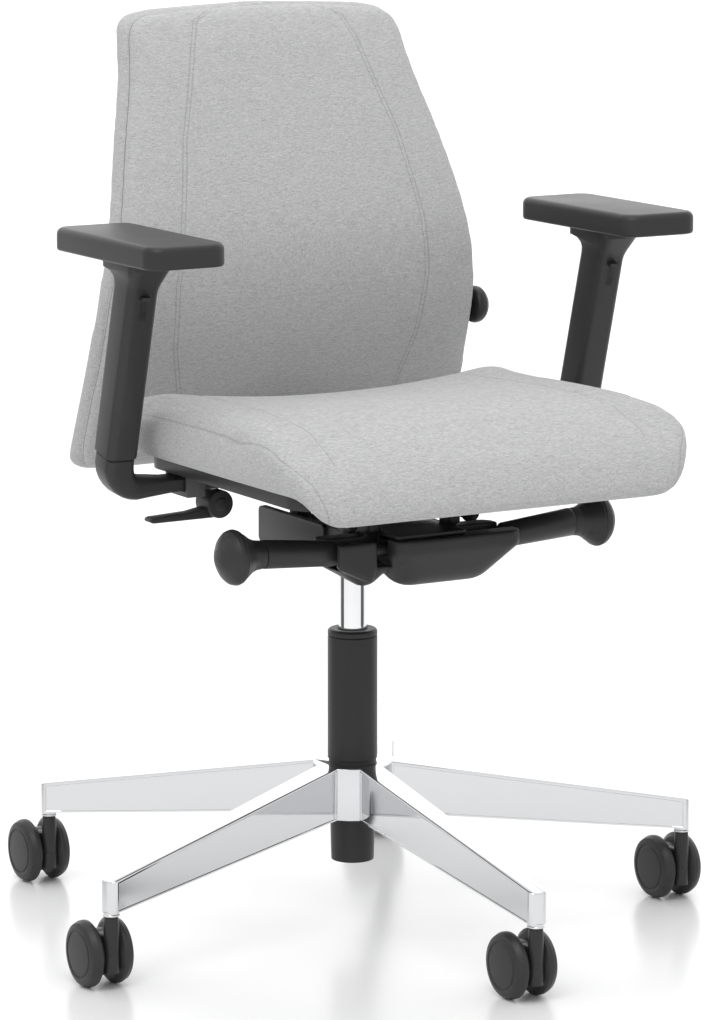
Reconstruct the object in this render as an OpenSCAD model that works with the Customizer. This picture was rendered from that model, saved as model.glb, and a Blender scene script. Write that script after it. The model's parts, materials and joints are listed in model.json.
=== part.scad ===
// Swivel office chair on a five-leg base.
// The origin is on the floor under the swivel axis, +Z is up and the sitter faces -Y,
// so "left" is the sitter's left, +X, and "right" is -X.

/* [Base] */
// Radius of the circle that the caster stems stand on
caster_circle_r = 345; // [320:1:372]
// Height of the hub's top face above the floor
hub_top = 165; // [158:1:185]
// Outer radius of the hub
hub_r = 40; // [36:1:44]
// Height of a leg at its outer end
leg_tip_h = 31; // [26:1:36]
// Width of a leg at its outer end
leg_tip_w = 19; // [18:1:24]
// Width of a leg where it joins the hub
leg_root_w = 34; // [28:1:40]

/* [Column] */
// Outer diameter of the column tube
tube_d = 50; // [48:1:56]
// Height of the column tube's top end
tube_top = 294; // [270:1:300]
// Diameter of the tube's tapered foot
tube_foot_d = 43; // [42:0.5:45]
// Outer diameter of the gas cylinder
gas_d = 28; // [26:1:30]
// Stroke of the height adjustment below the stored height
lower_stroke = 65; // [40:5:65]
// Stroke of the height adjustment above the stored height
raise_stroke = 50; // [30:5:50]

/* [Casters] */
// Diameter of a caster wheel
wheel_d = 65; // [58:1:67]
// Width of a caster wheel
wheel_w = 15.5; // [14:0.5:20]
// Gap between the two wheels of a caster
wheel_gap = 16; // [16:0.5:20]
// Distance that a wheel axle trails behind its stem
caster_trail = 25; // [18:1:28]
// Diameter of the caster stem
stem_d = 11; // [10:0.5:12]

/* [Mechanism] */
// Outer width of the mechanism's channel, without the side covers
channel_w = 112; // [108:1:116]
// Width of the rounded front of the mechanism
bowl_w = 200; // [184:2:210]
// Reach of the lever knobs from the middle of the chair
knob_reach = 223; // [210:1:235]
// Diameter of a mushroom knob
knob_d = 54; // [44:1:60]

/* [Seat] */
// Width of the seat cushion
seat_w = 464; // [440:2:490]
// Height of the seat cushion's top above the floor
seat_top = 545; // [540:1:560]
// Distance from the swivel axis to the front of the seat cushion
seat_front = 292; // [280:1:310]
// Distance from the swivel axis to the rear of the seat cushion
seat_rear = 84; // [76:1:94]

/* [Back] */
// Height of the top of the back
back_top = 915.5; // [880:1:960]
// Half of the back's greatest width
back_half_w = 217; // [205:1:230]
// Thickness of the front cushion
back_foam = 30; // [28:1:34]
// Depth of the upholstered rear panel
panel_depth = 33; // [32:1:40]

/* [Arms] */
// Distance between the middles of the two armrest pads
arm_spacing = 529; // [520:1:560]
// Height of the top of an armrest pad
pad_top = 717.7; // [700:1:740]
// Length of an armrest pad
pad_len = 201; // [180:1:230]
// Width of an armrest pad
pad_w = 81; // [70:1:95]
// Thickness of an armrest pad
pad_t = 22.4; // [18:0.2:30]
// Forward lean of the armrest uprights in degrees
arm_lean = 15.4; // [10:0.2:18]

/* [Hidden] */
PARTS = ["housing", "pins", "wheel_left", "wheel_right"];
SIDES = ["left", "right"];
ARM_PARTS = ["bracket", "sleeve", "pad", "button", "clamp_lever"];
leg_count = 5;
$fn = 48;

// Clearances: a running fit on the radius, and the open gap between moving pieces
run = 0.05;
gap = 0.4;
cut = 1;

// Colours
polished = [0.82, 0.83, 0.84];
black = [0.13, 0.13, 0.14];
soft_black = [0.2, 0.2, 0.21];
cloth = [0.7, 0.7, 0.71];
zinc = [0.6, 0.61, 0.62];

// Base
hub_bottom = hub_top - 53;
leg_root_top = hub_top - 1;
leg_root_bottom = hub_bottom + 1;
leg_tip_top = 108;
leg_tip_bottom = leg_tip_top - leg_tip_h;
leg_end_r = caster_circle_r + leg_tip_w / 2;
leg_wall = 3.5;
collar_h = 3;
collar_r = 8.5;

// Column
tube_foot = 64;
tube_bore_r = 20;
foot_plate_t = 5;
foot_recess = 6;
bearing_h = 6;
rod_r = 5;
rod_pin_r = 3.8;
rod_flange_r = 9;
cap_h = 7;
gas_bore_r = 11;
gas_top = 400;
gas_bottom = tube_foot + foot_recess + foot_plate_t + bearing_h + 6 + lower_stroke;
gland_h = 12;
valve_h = 25;
bush_h = 88;
piston_h = 12;
piston_z = gas_bottom + raise_stroke + gland_h + 2;

// Casters
wheel_r = wheel_d / 2;
axle_r = 4;
wheel_x = (wheel_gap + wheel_w) / 2;
neck_r = wheel_gap / 2 - 0.5;
stem_r = stem_d / 2;
neck_top = leg_tip_bottom - collar_h - 0.8;

// Mechanism
channel_floor = 384;
channel_top = 418;
channel_rear = 86;
channel_front = -100;
side_wall = 5;
floor_t = 5;
bowl_front = -165;
bowl_rear = -92;
bowl_bottom = 367;
bowl_split = -44;
bowl_depth_r = 32;
belly_bottom = 371;
belly_r = 26;
cover_t = 4;
recline_y = 40;
recline_z = 402;
recline_axle_r = 6;
ear_w = 16;
ear_gap = 58;
ear_r = 12;
tilt_y = -110;
tilt_z = 434;
tilt_axle_r = 5;
tilt_block_w = 12;
tilt_block_x = 46;
shaft_x = 30;
shaft_z = 406;
shaft_r = 4;
lever_y = -128;
lever_r = 12.5;
neck_x = 174;
knob_z = 413;
knob_neck_r = 14;
lever_slot_h = 15;
spring_r = 9.5;
spring_wire_r = 2.3;
spring_turns = 9;

// Seat
pan_top = 487.7;
pan_t = 11.7;
pan_bottom = pan_top - pan_t;
cushion_bottom = 488;
lip_bottom = 455;
cushion_round = 24;
seat_corner_r = 48;
pan_inset = 26;
screw_r = 2.5;
screw_head_r = 5;
screw_places = [for (x = [-150, -110, 110, 150], y = [-24, 48]) [x, y]];
carrier_top_t = 5.6;
carrier_top = pan_bottom;
rail_x = 69;
rail_t = 8;
wing_x = 172;

// Arms
arm_x = arm_spacing / 2;
bar_y = 12;
bar_w = 36;
bar_top = 470;
bar_bottom = 457.2;
bar_inner = 92;
stud_x = 150;
stud_r = 4;
width_travel = 25;
guide_outer = 192;
sleeve_w = 33;
sleeve_d = 38;
sleeve_wall = 3;
sleeve_round = 7;
sleeve_foot = 500;
upright_len = 182;
elbow_r = 28;
hub_z = 440;
clamp_r = 14;
clamp_len = 28;
blade_w = 14;
pad_bottom = pad_top - pad_t;
pad_y = -53.5;

// Back
lumbar_y = 111;
lumbar_z = 670;
back_bottom = 450;
lumbar_cut_z = [556, 654];
knob_axis_z = 598;
bearer_t = 8;

// ---------------------------------------------------------------- shared shapes

// Rounded rectangle made of squares and circles, so that its corners stay true arcs
module rounded(w, d, r) {
    square([w - 2 * r, d], center = true);
    square([w, d - 2 * r], center = true);
    for (x = [-1, 1], y = [-1, 1])
        translate([x * (w / 2 - r), y * (d / 2 - r)]) circle(r);
}

// Hyperbola that starts level and ends at the given slope
function bend(d, slope, soft) = sqrt(soft * soft + slope * slope * d * d) - soft;

// Depth of the seam between the front cushion and the rear panel at a height
function back_y(z) = lumbar_y + (z > lumbar_z ? bend(z - lumbar_z, 0.4, 24) : bend(lumbar_z - z, 0.5, 53));

// Point on a Catmull-Rom curve through points p, between points i and i + 1
function spline_point(p, i, t) =
    let (a = p[max(i - 1, 0)], b = p[i], c = p[i + 1], d = p[min(i + 2, len(p) - 1)])
    0.5 * (2 * b + (c - a) * t + (2 * a - 5 * b + 4 * c - d) * t * t + (3 * b - a - 3 * c + d) * t * t * t);

function spline(p, steps) = concat(
    [for (i = [0 : len(p) - 2], k = [0 : steps - 1]) spline_point(p, i, k / steps)],
    [p[len(p) - 1]]
);

function arc(x, y, r, a0, a1, steps) = [for (k = [0 : steps]) let (a = a0 + (a1 - a0) * k / steps)
    [x + r * cos(a), y + r * sin(a)]];

function mirrored(p) = [for (k = [len(p) - 1 : -1 : 0]) [-p[k][0], p[k][1]]];

// Slab that follows the back's curve from depth y0 to y1 behind the seam
module band(y0, y1, z0, z1, half_w) {
    steps = 16;
    heights = [for (k = [0 : steps]) z0 + (z1 - z0) * k / steps];
    rear_to_front = [for (k = [steps : -1 : 0]) heights[k]];
    rotate([90, 0, 90])
        linear_extrude(2 * half_w, center = true)
            polygon(concat(
                [for (z = heights) [back_y(z) + y0, z]],
                [for (z = rear_to_front) [back_y(z) + y1, z]]
            ));
}

// Front outline of the back, drawn inwards by an inset
module back_outline(inset) {
    w = back_half_w - inset;
    top = back_top - inset;
    shoulder = top - 30;
    side = spline([
        [w, back_bottom + 18],
        [w, 540],
        [w - 6, 645],
        [w - 29, 760],
        [w - 51, 840],
        [w - 59, shoulder]
    ], 4);
    corner_r = 20;
    crown = spline([[w - 79, top - 9], [w - 150, top - 2], [0, top]], 3);
    outline = concat(
        arc(w - 18, back_bottom + inset + 18, 18, -90, 0, 4),
        side,
        arc(w - 59 - corner_r, top - 9 - corner_r, corner_r, 15, 75, 3),
        crown
    );
    polygon(concat(outline, mirrored(outline)));
}

// Piece of the back between two depths, cut to the back's outline
module back_piece(y0, y1, inset) {
    intersection() {
        band(y0, y1, back_bottom - cut, back_top + cut, back_half_w + cut);
        rotate([90, 0, 0]) linear_extrude(800, center = true) back_outline(inset);
    }
}

// ---------------------------------------------------------------- base

// One leg along +X: the side view and the plan view, cut with each other
module leg(shrink, roof) {
    intersection() {
        rotate([90, 0, 0])
            linear_extrude(leg_root_w + cut, center = true)
                polygon([
                    [0, leg_root_bottom - cut * shrink],
                    [hub_r, leg_root_bottom - cut * shrink],
                    [leg_end_r + cut, leg_tip_bottom - cut * shrink],
                    [leg_end_r + cut, leg_tip_top - roof],
                    [hub_r, leg_root_top - roof],
                    [0, leg_root_top - roof]
                ]);
        translate([0, 0, leg_tip_bottom - 2 * cut])
            linear_extrude(hub_top)
                leg_plan(shrink);
    }
}

module leg_plan(shrink) {
    wall = shrink * leg_wall;
    tip_w = leg_tip_w - 2 * wall;
    root_w = leg_root_w - 2 * wall;
    end_r = shrink > 0 ? caster_circle_r - 2 * leg_wall - stem_r : leg_end_r - 5;
    polygon([
        [0, -root_w / 2],
        [hub_r, -root_w / 2],
        [end_r, -tip_w / 2],
        [end_r + 5 * (1 - shrink), -tip_w / 2 + 5 * (1 - shrink)],
        [end_r + 5 * (1 - shrink), tip_w / 2 - 5 * (1 - shrink)],
        [end_r, tip_w / 2],
        [hub_r, root_w / 2],
        [0, root_w / 2]
    ]);
}

module around_base() {
    for (i = [0 : leg_count - 1]) rotate(270 + i * 360 / leg_count) children();
}

// Cone shared by the tube's foot and the hub's bore
module tube_taper(h) {
    taper_h = hub_top - 4 - tube_foot;
    translate([0, 0, tube_foot]) cylinder(h = taper_h, r1 = tube_foot_d / 2, r2 = tube_d / 2);
    translate([0, 0, tube_foot + taper_h]) cylinder(h = 4 + h, d = tube_d);
}

module star_base() {
    color(polished)
    difference() {
        union() {
            translate([0, 0, hub_bottom]) cylinder(h = hub_top - hub_bottom, r = hub_r);
            around_base() leg(0, 0);
        }
        around_base() intersection() {
            leg(1, 6);
            translate([hub_r + 12, -50, 0]) cube([400, 100, 200]);
        }
        tube_taper(cut);
        around_base()
            translate([caster_circle_r, 0, leg_tip_bottom - cut])
                cylinder(h = leg_tip_h - 3, r = stem_r + run);
    }
}

module leg_collars() {
    color(polished)
    around_base()
        translate([caster_circle_r, 0, leg_tip_bottom - collar_h])
            difference() {
                cylinder(h = collar_h, r = collar_r);
                translate([0, 0, -cut]) cylinder(h = collar_h + 2 * cut, r = stem_r + gap);
            }
}

module column_tube() {
    color(black)
    difference() {
        tube_taper(tube_top - hub_top);
        translate([0, 0, tube_foot + foot_recess + foot_plate_t]) cylinder(h = 400, r = tube_bore_r);
        translate([0, 0, tube_foot - cut]) cylinder(h = foot_recess + cut, r = tube_bore_r - 3);
        translate([0, 0, tube_foot]) cylinder(h = 40, r = rod_pin_r + gap);
    }
}

module tube_cap() {
    color(black)
    translate([0, 0, tube_top]) difference() {
        cylinder(h = cap_h, d = tube_d);
        translate([0, 0, -cut]) cylinder(h = cap_h + 2 * cut, r = gas_d / 2 + 2 * gap);
    }
}

module guide_bush() {
    color([0.85, 0.84, 0.8])
    translate([0, 0, tube_top - bush_h]) difference() {
        cylinder(h = bush_h, r = tube_bore_r);
        translate([0, 0, -cut]) cylinder(h = bush_h + 2 * cut, r = gas_d / 2 + run);
    }
}

module thrust_bearing() {
    color(zinc)
    translate([0, 0, tube_foot + foot_recess + foot_plate_t]) difference() {
        cylinder(h = bearing_h, r = 13);
        translate([0, 0, -cut]) cylinder(h = bearing_h + 2 * cut, r = rod_pin_r + gap);
    }
}

// ---------------------------------------------------------------- gas spring

module piston_rod() {
    rod_foot = tube_foot + foot_recess + foot_plate_t + bearing_h + gap;
    color(zinc) {
        translate([0, 0, tube_foot + 1]) cylinder(h = rod_foot - tube_foot, r = rod_pin_r);
        translate([0, 0, tube_foot + 2]) cylinder(h = 3, r = rod_flange_r);
        translate([0, 0, rod_foot]) cylinder(h = 3, r = rod_flange_r);
        translate([0, 0, rod_foot]) cylinder(h = piston_z - rod_foot, r = rod_r);
        translate([0, 0, piston_z]) cylinder(h = piston_h, r = gas_bore_r - run);
    }
}

module gas_cylinder() {
    color(polished)
    translate([0, 0, gas_bottom]) difference() {
        cylinder(h = gas_top - gas_bottom, d = gas_d);
        translate([0, 0, gland_h])
            cylinder(h = gas_top - gas_bottom - gland_h - valve_h, r = gas_bore_r);
        translate([0, 0, -cut]) cylinder(h = 400, r = rod_r + run);
        translate([0, 0, gas_top - gas_bottom - valve_h]) cylinder(h = valve_h + cut, r = rod_r + run);
    }
}

module valve_pin() {
    color(zinc)
    translate([0, 0, gas_top - 12]) cylinder(h = 17, r = rod_r);
}

// ---------------------------------------------------------------- mechanism

module mechanism_housing() {
    color(black)
    difference() {
        union() {
            translate([-channel_w / 2, channel_front, channel_floor])
                cube([channel_w, channel_rear - channel_front, channel_top - channel_floor]);
            bowl();
            belly();
            tilt_blocks();
        }
        // Space inside the channel, open at the rear and at the top
        translate([-channel_w / 2 + side_wall, -88, channel_floor + floor_t])
            cube([channel_w - 2 * side_wall, 200, 60]);
        translate([-36, bowl_front + 10, channel_floor + floor_t]) cube([72, 100, 60]);
        translate([0, 0, 300]) cylinder(h = 150, d = gas_d);
        rotate([0, 90, 0]) {
            translate([-recline_z, recline_y, 0]) cylinder(h = 300, r = recline_axle_r, center = true);
            translate([-tilt_z, tilt_y, 0]) cylinder(h = 300, r = tilt_axle_r, center = true);
        }
        for (side = [-1, 1]) {
            translate([side * shaft_x, 0, shaft_z])
                rotate([90, 0, 0]) cylinder(h = 152, r = shaft_r + run);
            translate([side * (bowl_w / 4 + 15), lever_y, shaft_z])
                cube([bowl_w / 2, 2 * lever_r + 2, 2 * lever_slot_h], center = true);
        }
        // The channel's front wall is open where the lever shafts run through
        translate([-36, -95, channel_floor + floor_t]) cube([72, 20, 60]);
    }
}

// Front of the housing: a deep bowl, with a lower shelf and a block at the height lever
module bowl() {
    rim = 16;
    step = 8;
    shelf_front = -138;
    hull() {
        for (x = [bowl_split + rim, bowl_w / 2 - rim], y = [bowl_front + rim, bowl_rear - rim])
            translate([x, y, channel_top - 14]) cylinder(h = 14, r = rim, $fn = 32);
        for (x = [bowl_split + bowl_depth_r + 2, bowl_w / 2 - bowl_depth_r - 14])
            translate([x, lever_y + 2, bowl_bottom + bowl_depth_r]) intersection() {
                sphere(bowl_depth_r, $fn = 32);
                translate([-50, -50, -100]) cube(100);
            }
    }
    hull() {
        for (x = [-bowl_w / 2 + step, bowl_split + step], y = [shelf_front + step, bowl_rear - step])
            translate([x, y, bowl_bottom + 26]) cylinder(h = channel_top - bowl_bottom - 26, r = step, $fn = 24);
        translate([bowl_split - 12, lever_y + 12, bowl_bottom + 20]) sphere(18, $fn = 24);
    }
    // Five-sided block round the root of the height lever
    translate([0, lever_y + 8, 0]) rotate([90, 0, 0]) linear_extrude(30) polygon([
        [-bowl_w / 2 - 1, channel_top],
        [-bowl_w / 2 - 1, channel_top - 24],
        [bowl_split - 20, bowl_bottom + 10],
        [bowl_split - 13, channel_floor + 8],
        [bowl_split - 15, channel_top]
    ]);
    // Lug under the tilt lever
    translate([0, lever_y + 10, 0]) rotate([90, 0, 0]) linear_extrude(22) polygon([
        [bowl_w / 2 - 42, channel_floor + 12],
        [bowl_w / 2 - 12, channel_floor + 16],
        [bowl_w / 2 - 16, channel_floor + 3],
        [bowl_w / 2 - 28, channel_floor - 3],
        [bowl_w / 2 - 42, channel_floor - 2]
    ]);
}

// Rounded underside of the channel, round the gas cylinder's socket
module belly() {
    hull() for (p = [[22, -64], [20, -6], [12, 34]], x = [-1, 1])
        translate([x * p[0], p[1], belly_bottom + belly_r]) sphere(belly_r, $fn = 32);
}

module tilt_blocks() {
    for (x = [-1, 1]) translate([x * tilt_block_x, tilt_y, 0]) {
        translate([-tilt_block_w / 2, -12, channel_top - 4]) cube([tilt_block_w, 24, tilt_z - channel_top + 4]);
        translate([0, 0, tilt_z]) rotate([0, 90, 0]) cylinder(h = tilt_block_w, r = 12, center = true);
    }
}

module mechanism_cover() {
    front = bowl_front + 10;
    rear = -30;
    color(soft_black)
    translate([0, (front + rear) / 2, channel_top])
        linear_extrude(cover_t)
            rounded(2 * (tilt_block_x - tilt_block_w / 2) - 1, rear - front, 6);
}

module side_covers() {
    color(soft_black)
    for (side = [-1, 1])
        translate([side * (channel_w / 2 + cover_t / 2), 20, (channel_floor + channel_top) / 2 - 1])
            rotate([90, 0, 90])
                linear_extrude(cover_t, center = true)
                    rounded(2 * (channel_rear - 20), channel_top - channel_floor + 2, 5);
}

module pivot_axles() {
    tilt_len = 2 * (tilt_block_x + tilt_block_w / 2 + 14);
    color(zinc)
    rotate([0, 90, 0]) {
        translate([-recline_z, recline_y, 0]) cylinder(h = channel_w, r = recline_axle_r, center = true);
        translate([-tilt_z, tilt_y, 0]) cylinder(h = tilt_len, r = tilt_axle_r, center = true);
    }
}

// Torsion spring wound round the recline axle
module recline_spring() {
    steps = 18;
    sides = 8;
    turns = spring_turns * steps;
    half = ear_gap / 2 - 3;
    rings = [for (k = [0 : turns]) let (a = k * 360 / steps, x = -half + 2 * half * k / turns)
        for (j = [0 : sides - 1]) let (b = j * 360 / sides, r = spring_r + spring_wire_r * cos(b))
            [x + spring_wire_r * sin(b), recline_y + r * cos(a), recline_z + r * sin(a)]];
    walls = [for (k = [0 : turns - 1], j = [0 : sides - 1]) let (n = (j + 1) % sides)
        [k * sides + j, k * sides + n, (k + 1) * sides + n, (k + 1) * sides + j]];
    color(zinc)
    polyhedron(rings, concat(
        walls,
        [[for (j = [sides - 1 : -1 : 0]) j]],
        [[for (j = [0 : sides - 1]) turns * sides + j]]
    ));
}

// ---------------------------------------------------------------- levers

// Arm from the mechanism to a knob's neck, with its shaft inside the housing
module lever_arm(side) {
    hull() {
        translate([side * 98, lever_y, shaft_z + 1]) rotate([0, 90, 0])
            cylinder(h = 4, r = lever_r, center = true, $fn = 32);
        translate([side * (neck_x - 1), lever_y, knob_z]) rotate([0, 90, 0])
            cylinder(h = 2, r = knob_neck_r, center = true, $fn = 32);
    }
    translate([side * shaft_x, lever_y, shaft_z]) rotate([0, side * 90, 0])
        cylinder(h = 98 - shaft_x, r = 7);
    translate([side * shaft_x, 0, shaft_z]) rotate([90, 0, 0])
        translate([0, 0, 70]) cylinder(h = 80, r = shaft_r);
}

// Knob turned about the X axis, from its neck to its crown
module mushroom(side) {
    rim = knob_d / 2;
    reach = knob_reach - neck_x;
    profile = concat(
        [[0, 0], [knob_neck_r, 0]],
        spline([[knob_neck_r, 4], [16, 13], [22, 21], [rim - 1, 27]], 4),
        spline([[rim, 31], [rim - 3, 37], [rim - 11, reach - 5], [0, reach]], 4)
    );
    translate([side * neck_x, lever_y, knob_z]) rotate([0, side * 90, 0]) rotate_extrude() polygon(profile);
}

module height_lever() {
    color(black) {
        lever_arm(-1);
        translate([-shaft_x, 4, shaft_z]) rotate([90, 0, 0]) cylinder(h = 76, r = shaft_r);
        translate([-shaft_x, -5, gas_top + 5 + gap]) cube([shaft_x + rod_r + 1, 10, 5]);
    }
}

module height_knob() {
    color(black) mushroom(-1);
}

// Place of the tension knob's spindle, along +X from inside the lever's end
module spindle(r, extra) {
    translate([neck_x - 20 - extra, lever_y, knob_z]) rotate([0, 90, 0]) cylinder(h = 24 + extra, r = r);
}

module tilt_lever() {
    color(black) difference() {
        lever_arm(1);
        spindle(stud_r + run, gap);
    }
}

module tension_knob() {
    color(black) {
        translate([gap, 0, 0]) mushroom(1);
        spindle(stud_r, 0);
    }
}

// ---------------------------------------------------------------- seat

module seat_plan(inset) {
    w = seat_w - 2 * inset;
    front = -seat_front + inset;
    rear = seat_rear - inset;
    r = seat_corner_r - inset / 2;
    translate([0, (front + rear) / 2]) rounded(w, rear - front, r);
}

module seat_cushion() {
    front = -seat_front;
    side = concat(
        [[seat_rear, cushion_bottom], [front + 24, cushion_bottom], [front + 22, lip_bottom]],
        [[front + 6, lip_bottom], [front, lip_bottom + 6]],
        spline([
            [front, lip_bottom + 18],
            [front + 8, seat_top - 50],
            [front + 30, seat_top - 22],
            [front + 60, seat_top - 9],
            [front + 130, seat_top - 2],
            [front + 200, seat_top]
        ], 4),
        arc(seat_rear - cushion_round, seat_top - cushion_round, cushion_round, 90, 0, 5)
    );
    half = seat_w / 2;
    edge = concat(
        spline([
            [half - 48, lip_bottom],
            [half - 26, lip_bottom + 14],
            [half - 10, cushion_bottom],
            [half, cushion_bottom + 17]
        ], 3),
        arc(half - cushion_round, seat_top - cushion_round, cushion_round, 0, 90, 5)
    );
    color(cloth)
    intersection() {
        rotate([90, 0, 90]) linear_extrude(seat_w + cut, center = true) polygon(side);
        rotate([90, 0, 0]) linear_extrude(3 * seat_front, center = true)
            polygon(concat(edge, mirrored(edge)));
        linear_extrude(seat_top + cut) seat_plan(0);
    }
}

module seat_pan() {
    color(black)
    difference() {
        translate([0, 0, pan_bottom]) linear_extrude(pan_t) intersection() {
            seat_plan(pan_inset);
            translate([-seat_w / 2, -seat_front + pan_inset + 10]) square([seat_w, 600]);
        }
        screw_holes();
        for (side = [-1, 1]) translate([side * stud_x, bar_y, 0]) cylinder(h = pan_bottom + 6, r = stud_r);
    }
}

module screw_holes() {
    for (p = screw_places) translate([p[0], p[1], channel_top]) cylinder(h = 100, r = screw_r);
}

module seat_screws() {
    plate_bottom = carrier_top - carrier_top_t;
    color(zinc) {
        for (p = screw_places) translate([p[0], p[1], plate_bottom]) {
            translate([0, 0, -3]) cylinder(h = 3, r = screw_head_r);
            cylinder(h = 14, r = screw_r);
        }
    }
}

// Top plate with a rail on each side of the mechanism
module seat_carrier() {
    ear_z = tilt_z;
    color(black)
    difference() {
        union() {
            translate([0, 8, carrier_top - carrier_top_t])
                linear_extrude(carrier_top_t) rounded(2 * wing_x, 96, 8);
            translate([0, -60, carrier_top - carrier_top_t])
                linear_extrude(carrier_top_t) rounded(2 * (rail_x + rail_t / 2), 160, 8);
            for (side = [-1, 1]) translate([side * rail_x - rail_t / 2, 0, 0]) {
                rotate([90, 0, 90]) linear_extrude(rail_t) polygon([
                    [tilt_y - 14, ear_z],
                    [tilt_y, ear_z - 12],
                    [tilt_y + 14, ear_z - 10],
                    [-40, 440],
                    [82, 446],
                    [82, carrier_top - carrier_top_t],
                    [tilt_y - 28, carrier_top - carrier_top_t],
                    [tilt_y - 28, 456]
                ]);
                translate([0, tilt_y, ear_z]) rotate([0, 90, 0]) cylinder(h = rail_t, r = 13);
            }
        }
        translate([0, tilt_y, ear_z]) rotate([0, 90, 0])
            cylinder(h = 300, r = tilt_axle_r + run, center = true);
        screw_holes();
        for (side = [-1, 1]) translate([side * stud_x, bar_y, 0]) cylinder(h = 600, r = stud_r);
    }
}

module clamp_studs() {
    color(zinc)
    for (side = [-1, 1]) translate([side * stud_x, bar_y, 0]) {
        translate([0, 0, hub_z]) cylinder(h = pan_bottom + 6 - hub_z, r = stud_r);
        translate([0, 0, hub_z]) rotate([90, 0, 0]) cylinder(h = clamp_len - 4, r = stud_r, center = true);
    }
}

// Collars that guide the arm bars at the ends of the carrier plate
module arm_guides() {
    h = pan_bottom - bar_bottom + 6;
    color(zinc)
    for (side = [-1, 1])
        translate([side * (wing_x + guide_outer) / 2, bar_y, pan_bottom - h / 2])
            difference() {
                cube([guide_outer - wing_x, bar_w + 10, h], center = true);
                translate([0, 0, (bar_top + bar_bottom) / 2 - pan_bottom + h / 2])
                    cube([40, bar_w + 2 * gap, bar_top - bar_bottom + 2 * gap], center = true);
            }
}

// ---------------------------------------------------------------- arms

// Frame whose Z axis runs up along the leaning upright, from the sleeve's foot
module along_upright(side) {
    translate([side * arm_x, 0, sleeve_foot]) rotate([arm_lean, 0, 0]) children();
}

// Upright inside the sleeve, an elbow at its foot and a slotted bar under the seat
module arm_bracket(side) {
    inner_w = sleeve_w - 2 * (sleeve_wall + gap);
    inner_d = sleeve_d - 2 * (sleeve_wall + gap);
    inner_r = sleeve_round - sleeve_wall;
    bar_mid = (bar_top + bar_bottom) / 2;
    elbow_x = arm_x - elbow_r;
    elbow_y = 3;
    bar_end = guide_outer + 5;
    root = 10;
    color(black) {
        along_upright(side) translate([0, 0, -root])
            linear_extrude(upright_len + root) rounded(inner_w, inner_d, inner_r);
        mirror([side < 0 ? 1 : 0, 0, 0]) {
            translate([elbow_x, elbow_y, bar_mid + elbow_r]) rotate([90, 0, 0])
                rotate_extrude(angle = -90) translate([elbow_r, 0]) rounded(inner_w + 1, inner_d + 1, inner_r + 1);
            hull() {
                translate([elbow_x, elbow_y, bar_mid]) cube([1, inner_d - 6, inner_w - 4], center = true);
                translate([bar_end - 1, bar_y, bar_mid]) cube([1, bar_w - 1, bar_top - bar_bottom - 1], center = true);
            }
            difference() {
                translate([bar_inner, bar_y - bar_w / 2, bar_bottom])
                    cube([bar_end - bar_inner, bar_w, bar_top - bar_bottom]);
                translate([stud_x - width_travel / 2, bar_y, bar_mid])
                    cube([width_travel + 2 * stud_r + 3, 2 * stud_r + 2, 40], center = true);
            }
        }
    }
}

function sleeve_len() = (pad_bottom - 8 - sleeve_foot) / cos(arm_lean);

module arm_sleeve(side) {
    top_y = -(pad_bottom - sleeve_foot) * tan(arm_lean);
    color(black)
    difference() {
        union() {
            along_upright(side) linear_extrude(sleeve_len()) rounded(sleeve_w, sleeve_d, sleeve_round);
            hull() {
                along_upright(side) translate([0, 0, sleeve_len() - 24])
                    linear_extrude(1) rounded(sleeve_w - 0.6, sleeve_d - 0.6, sleeve_round, $fn = 24);
                translate([side * arm_x, top_y, pad_bottom - 3])
                    linear_extrude(3) rounded(46, 96, 12, $fn = 24);
            }
        }
        along_upright(side) translate([0, 0, -cut])
            linear_extrude(sleeve_len() - 6)
                rounded(sleeve_w - 2 * sleeve_wall, sleeve_d - 2 * sleeve_wall, sleeve_round - sleeve_wall);
        // Slot for the height button in the front wall
        along_upright(side) translate([0, -sleeve_d / 2, sleeve_len() - 36])
            cube([10, 2 * sleeve_wall + 24, 30], center = true);
    }
}

module arm_pad(side) {
    color(soft_black)
    translate([side * arm_x, pad_y, pad_bottom]) linear_extrude(pad_t) rounded(pad_w, pad_len, 12);
}

// Lever button that pivots at its foot inside the sleeve's slot
module arm_button(side) {
    color(black)
    along_upright(side) translate([0, -sleeve_d / 2 + 1.5, sleeve_len() - 48]) {
        rotate([0, 90, 0]) cylinder(h = 9, r = 1.5, center = true);
        translate([-4.5, -1.5, 0]) cube([9, 3, 25]);
        translate([-4.5, -7, 21]) cube([9, 6, 4]);
    }
}

// Cam lever on the cross pin of the stud: a slit hub with a flat blade
module arm_clamp_lever(side) {
    color(soft_black)
    translate([side * stud_x, bar_y, hub_z]) difference() {
        union() {
            rotate([90, 0, 0]) cylinder(h = clamp_len, r = clamp_r, center = true);
            translate([side * 38, 0, -clamp_r + 3]) cube([76, blade_w, 6], center = true);
        }
        rotate([90, 0, 0]) cylinder(h = clamp_len - 4 + 2 * gap, r = stud_r + run, center = true);
        translate([-side * 9, 0, 9]) cube([28, 2 * stud_r + 1.2, 28], center = true);
    }
}

// ---------------------------------------------------------------- back

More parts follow.
